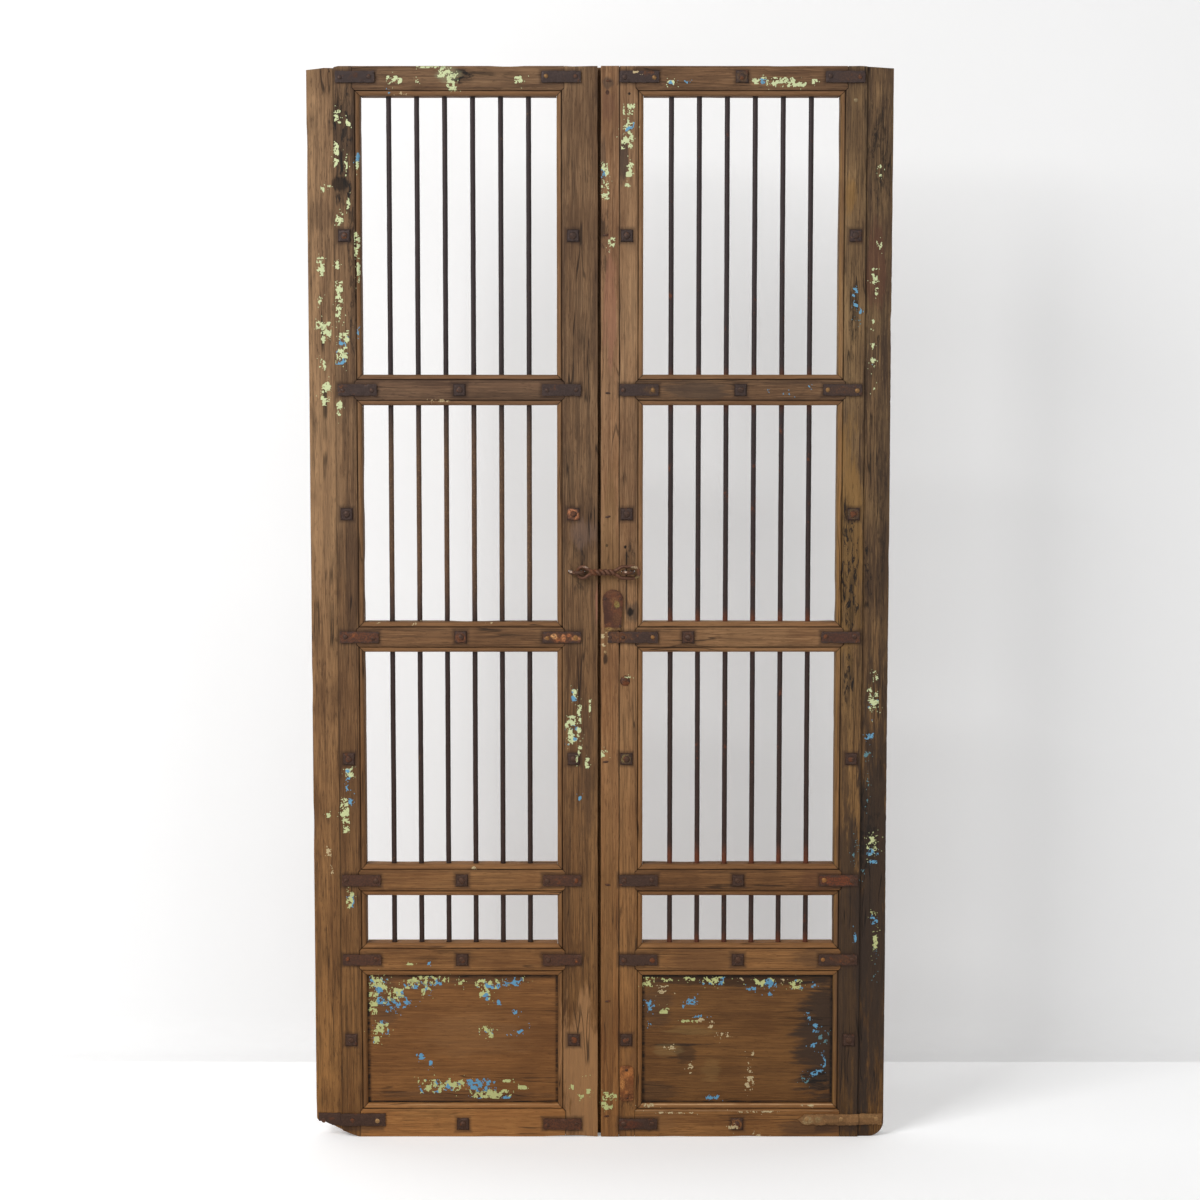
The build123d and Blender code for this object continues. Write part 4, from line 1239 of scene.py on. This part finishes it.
# Scraps of old paint in millimetres: x, z, width, height
SCRAPS = {
    ("left", LIME): (
        (58, 923, 13, 24), (78, 912, 9, 13), (55, 855, 11, 50), (73, 834, 7, 40), (93, 833, 9, 17),
        (29, 788, 7, 15), (41, 795, 6, 7), (78, 759, 9, 28), (60, 735, 15, 24), (93, 687, 11, 46),
        (95, 638, 7, 48), (24, 647, 15, 35), (55, 653, 9, 22), (58, 600, 15, 39), (22, 584, 11, 17),
        (58, 559, 13, 33), (23, 536, 17, 22), (33, 524, 19, 39), (26, 467, 13, 26),
        (32, 412, 20, 47), (57, 383, 11, 30), (165, 990, 30, 15), (207, 990, 6, 11),
        (232, 1016, 52, 9), (259, 1006, 28, 22), (272, 987, 22, 38), (397, 990, 19, 15),
        (60, -376, 17, 46), (63, -410, 13, 27), (29, -390, 8, 10), (507, -188, 9, 23),
        (527, -181, 4, 25), (508, -267, 8, 21), (522, -290, 9, 21), (502, -283, 4, 12),
        (493, -918, 6, 12), (520, -900, 10, 8), (525, -927, 10, 10), (510, -937, 10, 10),
        (111, -764, 17, 29), (364, -909, 21, 6), (397, -922, 17, 8), (180, -678, 19, 4),
    ),
    ("left", MIXED): (
        (67, 513, 19, 32), (62, 481, 24, 32), (70, -311, 15, 29), (495, -227, 30, 56),
        (498, -157, 13, 27), (69, -553, 15, 35), (121, -729, 36, 57), (154, -739, 31, 29),
        (185, -719, 31, 19), (219, -713, 72, 19), (215, -730, 23, 23), (125, -804, 34, 27),
        (115, -829, 15, 14), (281, -717, 13, 16), (331, -719, 48, 19), (326, -740, 23, 23),
        (379, -714, 40, 18), (327, -807, 27, 14), (336, -816, 10, 20), (218, -920, 44, 27),
        (261, -916, 50, 24), (336, -935, 85, 18),
    ),
    ("left", BLUE): (
        (95, 848, 9, 17), (94, 528, 6, 17), (72, -360, 9, 23), (66, -338, 8, 21), (159, 969, 15, 9),
        (508, -356, 8, 12), (155, -755, 55, 25), (148, -770, 27, 14), (364, -719, 23, 10),
        (351, -755, 8, 10), (383, -774, 15, 10), (393, -814, 13, 12), (374, -819, 6, 6),
        (412, -801, 4, 4), (201, -861, 17, 12), (221, -876, 8, 14), (318, -917, 56, 26),
        (218, -677, 8, 6),
    ),
    ("left", CREAM): (
        (179, 966, 24, 7), (248, 397, 37, 6), (132, -21, 11, 6), (197, -22, 11, 8),
        (341, -21, 11, 6), (28, -459, 11, 19), (305, -492, 8, 6), (34, -499, 8, 15),
    ),
    ("right", LIME): (
        (600, 936, 22, 20), (597, 880, 22, 33), (602, 828, 15, 31), (597, 797, 9, 7),
        (556, 788, 15, 37), (892, 986, 72, 18), (945, 987, 11, 9), (1068, 833, 11, 9),
        (1068, 817, 7, 7), (1068, 686, 11, 17), (1061, 629, 15, 30), (1064, 600, 7, 17),
        (1059, 538, 7, 22), (1058, 498, 6, 13), (1059, 415, 7, 26), (1069, -124, 11, 21),
        (554, -273, 13, 17), (565, -936, 27, 16), (558, -955, 25, 16), (639, -715, 23, 19),
        (675, -711, 23, 8), (715, -709, 27, 8), (598, -125, 15, 4), (720, -792, 34, 6),
        (668, -771, 23, 12),
    ),
    ("right", MIXED): (
        (599, 907, 22, 22), (556, 825, 15, 29), (568, 691, 13, 20), (843, 989, 30, 13),
        (1059, 466, 11, 28), (1064, -169, 22, 46), (1066, -453, 23, 69), (1070, -589, 15, 25),
        (1073, -637, 11, 43), (863, -716, 44, 18), (764, -713, 52, 16), (922, -720, 27, 19),
        (678, 985, 22, 9), (953, -121, 19, 4),
    ),
    ("right", BLUE): (
        (705, 986, 17, 11), (1023, 599, 11, 26), (1024, 578, 9, 13), (1033, 565, 7, 13),
        (899, 410, 19, 7), (865, 418, 9, 6), (938, 423, 7, 7), (1058, -238, 17, 36),
        (1034, -624, 6, 25), (641, -760, 23, 21), (723, -752, 23, 16), (707, -763, 6, 8),
        (734, -782, 29, 6), (642, -800, 6, 10), (763, -942, 27, 12), (875, -722, 21, 12),
        (836, -728, 19, 8), (871, -737, 17, 10), (955, -722, 13, 8), (947, -783, 8, 20),
        (965, -803, 19, 22), (957, -840, 15, 12), (976, -866, 10, 33), (962, -894, 31, 14),
    ),
    ("right", TEAL): (
        (1030, 545, 13, 20), (1055, -270, 17, 19), (1056, -326, 6, 23), (1056, -364, 4, 35),
        (1036, -436, 9, 25), (1029, -468, 6, 23), (977, -823, 21, 22), (942, -908, 17, 16),
        (1048, -503, 8, 23), (1074, -656, 6, 12), (1073, -697, 6, 23),
    ),
    ("right", CREAM): (
        (617, 1004, 19, 5), (819, -710, 10, 6), (898, -712, 25, 6), (669, -728, 29, 20),
        (748, -791, 31, 12), (762, -807, 19, 18), (789, -822, 23, 16), (720, -885, 12, 20),
        (836, -861, 17, 16), (834, -882, 10, 22), (834, -914, 19, 27), (681, -844, 25, 8),
        (688, -969, 92, 4), (842, -967, 96, 4), (946, -955, 29, 4), (639, -955, 29, 8),
        (552, -47, 9, 8), (554, -64, 9, 8), (852, -1011, 25, 8), (803, -995, 19, 16),
    ),
}


def lay(shape, surface, thickness):
    """Lay flat faces on the surface, drop those over an edge, and give the rest their thickness."""
    depths = {vert: depth_at(surface, vert.co.x, vert.co.z) for vert in shape.verts}
    over = []
    for face in shape.faces:
        under = [depths[vert] for vert in face.verts]
        if None in under or max(under) - min(under) > STEP_LIMIT:
            over.append(face)
    bmesh.ops.delete(shape, geom=over, context="FACES")
    for vert in shape.verts:
        vert.co.y = depths[vert] - thickness
    if not shape.faces:
        return
    bmesh.ops.recalc_face_normals(shape, faces=shape.faces)
    bmesh.ops.reverse_faces(shape, faces=[face for face in shape.faces if face.normal.y > 0])
    bmesh.ops.solidify(shape, geom=shape.faces[:], thickness=thickness * 1.2)


def island(surface, x, z, width, height, coat, seed, thickness, hold):
    """A scrap of paint with the outline and holes of flaking: a higher hold leaves more of it."""
    shape = bmesh.new()
    reach_x, reach_z = width * 0.52, height * 0.52
    columns = max(3, math.ceil(2 * reach_x / SCRAP_CELL))
    rows = max(3, math.ceil(2 * reach_z / SCRAP_CELL))
    bmesh.ops.create_grid(shape, x_segments=columns, y_segments=rows, size=1.0)
    top = LIME if coat == MIXED else coat
    gone = []
    for face in shape.faces:
        across, up, _ = face.calc_center_median()
        px, pz = x + across * reach_x, z + up * reach_z
        coarse = noise.noise(Vector((px * 130, seed, pz * 130)))
        fine = noise.noise(Vector((px * 380, seed + 7, pz * 380)))
        away = abs(across) ** 2.5 + abs(up) ** 2.5
        left = hold - away * 0.45 + coarse * 1.2 + fine * 0.9
        side = noise.noise(Vector((px * 70, seed + 3, pz * 70))) - up * 0.25
        if left < 0:
            gone.append(face)
        elif coat == MIXED and side > 0.3 - 0.15 * (left < 0.15):
            face.material_index = BLUE
        else:
            face.material_index = top
    bmesh.ops.delete(shape, geom=gone, context="FACES")
    rim = [vert for vert in shape.verts if vert.is_boundary]
    bmesh.ops.smooth_vert(
        shape, verts=rim, factor=0.4, use_axis_x=True, use_axis_y=True, use_axis_z=True
    )
    for vert in shape.verts:
        jog = noise.noise_vector(Vector((vert.co.x * 40, seed, vert.co.y * 40))) * 0.0005
        vert.co = Vector((x + vert.co.x * reach_x + jog.x, 0, z + vert.co.y * reach_z + jog.z))
    if shape.faces:
        lay(shape, surface, thickness)
    return shape


def speck(surface, x, z, size_x, size_z, coat, rng, thickness):
    """A loose fleck of paint."""
    shape = bmesh.new()
    bmesh.ops.create_circle(shape, cap_ends=True, segments=7, radius=1.0)
    for vert in shape.verts:
        ragged = rng.uniform(0.6, 1.2)
        vert.co = Vector((x + vert.co.x * ragged * size_x, 0, z + vert.co.y * ragged * size_z))
    for face in shape.faces:
        face.material_index = coat
    lay(shape, surface, thickness)
    return shape


class DOORS_OT_paint(bpy.types.Operator):
    """Lay the scraps of lime, blue, cream and teal paint that are left on the doors."""

    bl_idname = "doors.lay_paint"
    bl_label = "Lay the scraps of paint"

    def execute(self, context):
        looks = context.scene.jali_doors
        coats = [
            paint_finish("paint_lime", tuple(looks.lime), 1.0, (0.82, 0.78, 0.58, 1.0)),
            paint_finish("paint_blue", tuple(looks.blue), 2.0, (0.86, 0.92, 0.96, 1.0)),
            paint_finish("paint_cream", tuple(looks.cream), 3.0),
            paint_finish("paint_teal", tuple(looks.teal), 4.0),
        ]
        for leaf in ("left", "right"):
            rng = random.Random(f"{leaf} paint")
            surface = front_of(f"{leaf}_leaf")
            shape = bmesh.new()
            spare = bpy.data.meshes.new("scrap")
            thickness = looks.paint_thickness
            for (scrap_leaf, coat), places in SCRAPS.items():
                if scrap_leaf != leaf:
                    continue
                for x, z, width, height in places:
                    more = 0.1 if width * height < SMALL_SCRAP else 0.0
                    less = 0.2 if x > STRIP_START else 0.0
                    hold = HOLD[coat] + more - less
                    place = (x * MM, z * MM, width * MM, height * MM)
                    flecks = [island(surface, *place, coat, rng.uniform(0, 90), thickness, hold)]
                    for _ in range(4 if coat in (MIXED, TEAL) else 2):
                        angle = rng.uniform(0, 2 * math.pi)
                        out = rng.uniform(0.6, 0.9)
                        px = (x + math.cos(angle) * out * (width + 2)) * MM
                        pz = (z + math.sin(angle) * out * (height + 2)) * MM
                        size_x = rng.uniform(0.4, 1.2) * MM
                        size_z = rng.uniform(0.4, 1.4) * MM
                        loose = LIME if coat == MIXED else coat
                        flecks.append(speck(surface, px, pz, size_x, size_z, loose, rng, thickness))
                    for fleck in flecks:
                        fleck.to_mesh(spare)
                        fleck.free()
                        shape.from_mesh(spare)
            bpy.data.meshes.remove(spare)
            settle(f"{leaf}_paint_scraps", shape, f"{leaf}_leaf", coats, smooth=False)
        return {"FINISHED"}


# Stage

# Lamps: name, place, size of the side (m), share of the lamp power
LAMPS = (
    ("main_lamp", (-2.3, -3.2, 2.6), 2.2, 1.0),
    ("side_lamp", (2.8, -3.0, 1.0), 2.4, 0.12),
)
# The camera looks down by this angle, in degrees
CAMERA_TILT = 4.9
# The stage, in metres: the middle of its floor and its white wall, then of the wall half its width,
# its height, the front of its foot, how far that lies over the floor, and its rounded corner
STAGE_MIDDLE = 0.5
WALL_HALF_WIDTH = 3.0
WALL_HEIGHT = 4.0
WALL_FOOT = 0.5
WALL_RISE = 0.0002
WALL_CORNER = 0.07


def stage_white(name, glow, clear_behind=False):
    """Matt white that glows a little for the camera alone, and may be clear from behind."""
    finish = Finish(name)
    matt = finish.node("BsdfDiffuse", {}, {"Color": STAGE_WHITE})
    light = finish.node("Emission", {}, {"Color": WHITE, "Strength": glow})
    seen = finish.node("LightPath").outputs["Is Camera Ray"]
    both = finish.node("AddShader", {}, {0: matt.outputs[0], 1: light.outputs[0]})
    shade = finish.node("MixShader", {}, {0: seen, 1: matt.outputs[0], 2: both.outputs[0]})
    if clear_behind:
        behind = finish.node("NewGeometry").outputs["Backfacing"]
        clear = finish.node("BsdfTransparent")
        shade = finish.node("MixShader", {}, {0: behind, 1: shade.outputs[0], 2: clear.outputs[0]})
    finish.node("OutputMaterial", {}, {0: shade.outputs[0]})
    return finish.material


class DOORS_OT_stage(bpy.types.Operator):
    """Set the pale floor, the soft lamps, the white surround and the camera."""

    bl_idname = "doors.set_stage"
    bl_label = "Set the stage"

    floor_size: bpy.props.FloatProperty(
        name="Floor size", description="Length of the floor's sides", default=60.0, unit="LENGTH"
    )
    wall_place: bpy.props.FloatProperty(
        name="Wall place", description="How far the white wall stands behind the doors",
        default=0.62, unit="LENGTH"
    )

    def execute(self, context):
        looks = context.scene.jali_doors
        scene = context.scene
        self.add_floor()
        self.add_backdrop()
        self.add_room(scene, looks.room_light)
        middle_x = (cad_box[0][0] + cad_box[1][0]) / 2
        target = Vector((middle_x, 0, 0))
        for name, place, size, share in LAMPS:
            self.add_lamp(name, Vector(place), target, size, looks.lamp_power * share)

        camera = bpy.data.cameras.new("photo_camera")
        camera.lens = 72.0
        camera.sensor_width = 36.0
        camera.clip_end = 200.0
        holder = bpy.data.objects.new("photo_camera", camera)
        scene.collection.objects.link(holder)
        holder.location = (middle_x, FACE - looks.camera_distance, SILL + looks.camera_height)
        holder.rotation_euler = (math.radians(90 - CAMERA_TILT), 0, 0)
        scene.camera = holder
        scene.view_settings.view_transform = "Standard"
        return {"FINISHED"}

    def add_floor(self):
        shape = bmesh.new()
        place = Matrix.Translation((STAGE_MIDDLE, 0.0, SILL))
        half = self.floor_size / 2
        bmesh.ops.create_grid(shape, x_segments=1, y_segments=1, size=half, matrix=place)
        stand("floor", shape, [stage_white("pale_floor", 0.2)], smooth=False)

    def add_backdrop(self):
        """A white wall behind the doors, open to a camera that stands behind it."""
        shape = bmesh.new()
        made = bmesh.ops.create_grid(shape, x_segments=1, y_segments=1, size=1.0)
        for vert in made["verts"]:
            x = STAGE_MIDDLE + vert.co.x * WALL_HALF_WIDTH
            y = WALL_FOOT if vert.co.y < 0 else self.wall_place
            vert.co = Vector((x, y, SILL + WALL_RISE))

        def at_wall(edge):
            return all(vert.co.y > (WALL_FOOT + self.wall_place) / 2 for vert in edge.verts)

        rear = [edge for edge in shape.edges if at_wall(edge)]
        raised = bmesh.ops.extrude_edge_only(shape, edges=rear)["geom"]
        risen = [part for part in raised if isinstance(part, bmesh.types.BMVert)]
        bmesh.ops.translate(shape, verts=risen, vec=(0, 0, WALL_HEIGHT))
        corner = [edge for edge in shape.edges if len(edge.link_faces) == 2 and at_wall(edge)]
        bmesh.ops.bevel(
            shape, geom=corner, offset=WALL_CORNER, segments=8, profile=0.5,
            affect="EDGES", material=-1,
        )
        if shape.faces[:][0].normal.z < 0:
            bmesh.ops.reverse_faces(shape, faces=shape.faces)
        stand("backdrop", shape, [stage_white("white_wall", 0.06, clear_behind=True)])

    def add_room(self, scene, strength):
        """Even light from all round, and plain white wherever a camera looks past the stage."""
        world = bpy.data.worlds.new("white_room")
        world.use_nodes = True
        scene.world = world
        room = Nodes(world.node_tree)
        path = room.node("LightPath").outputs
        most = {"operation": "MAXIMUM"}
        glossy = room.node("Math", most, {0: path["Is Camera Ray"], 1: path["Is Glossy Ray"]})
        clear = room.node("Math", most, {0: glossy.outputs[0], 1: path["Is Transmission Ray"]})
        lit = room.node("Background", {}, {"Color": WHITE, "Strength": strength})
        seen = room.node("Background", {}, {"Color": WHITE, "Strength": 1.0})
        shades = {0: clear.outputs[0], 1: lit.outputs[0], 2: seen.outputs[0]}
        room.node("OutputWorld", {}, {0: room.node("MixShader", {}, shades).outputs[0]})

    def add_lamp(self, name, place, target, size, power):
        light = bpy.data.lights.new(name, "AREA")
        light.size = size
        light.energy = power
        lamp = bpy.data.objects.new(name, light)
        bpy.context.scene.collection.objects.link(lamp)
        lamp.location = place
        lamp.rotation_euler = (target - place).to_track_quat("-Z", "Y").to_euler()


class DOORS_PT_panel(bpy.types.Panel):
    """Steps that dress the doors, in order."""

    bl_idname = "DOORS_PT_panel"
    bl_label = "Jali doors"
    bl_space_type = "VIEW_3D"
    bl_region_type = "UI"
    bl_category = "Doors"

    def draw(self, context):
        looks = context.scene.jali_doors
        for key in looks.bl_rna.properties.keys():
            if key not in ("rna_type", "name"):
                self.layout.prop(looks, key)
        for step in STEPS:
            self.layout.operator(step.bl_idname)


STEPS = (
    DOORS_OT_wood, DOORS_OT_iron, DOORS_OT_hasp, DOORS_OT_bars,
    DOORS_OT_fasteners, DOORS_OT_paint, DOORS_OT_stage,
)
CLASSES = (DoorSettings,) + STEPS + (DOORS_PT_panel,)


def register():
    for item in CLASSES:
        bpy.utils.register_class(item)
    bpy.types.Scene.jali_doors = bpy.props.PointerProperty(type=DoorSettings)
    noise.seed_set(NOISE_SEED)


def unregister():
    del bpy.types.Scene.jali_doors
    for item in reversed(CLASSES):
        bpy.utils.unregister_class(item)


def main():
    """Dress the doors step by step."""
    register()
    bpy.ops.doors.dress_wood()
    bpy.ops.doors.dress_iron()
    bpy.ops.doors.forge_hasp()
    bpy.ops.doors.forge_bars()
    bpy.ops.doors.add_fasteners()
    bpy.ops.doors.lay_paint()
    bpy.ops.doors.set_stage()


if __name__ == "__main__":
    main()
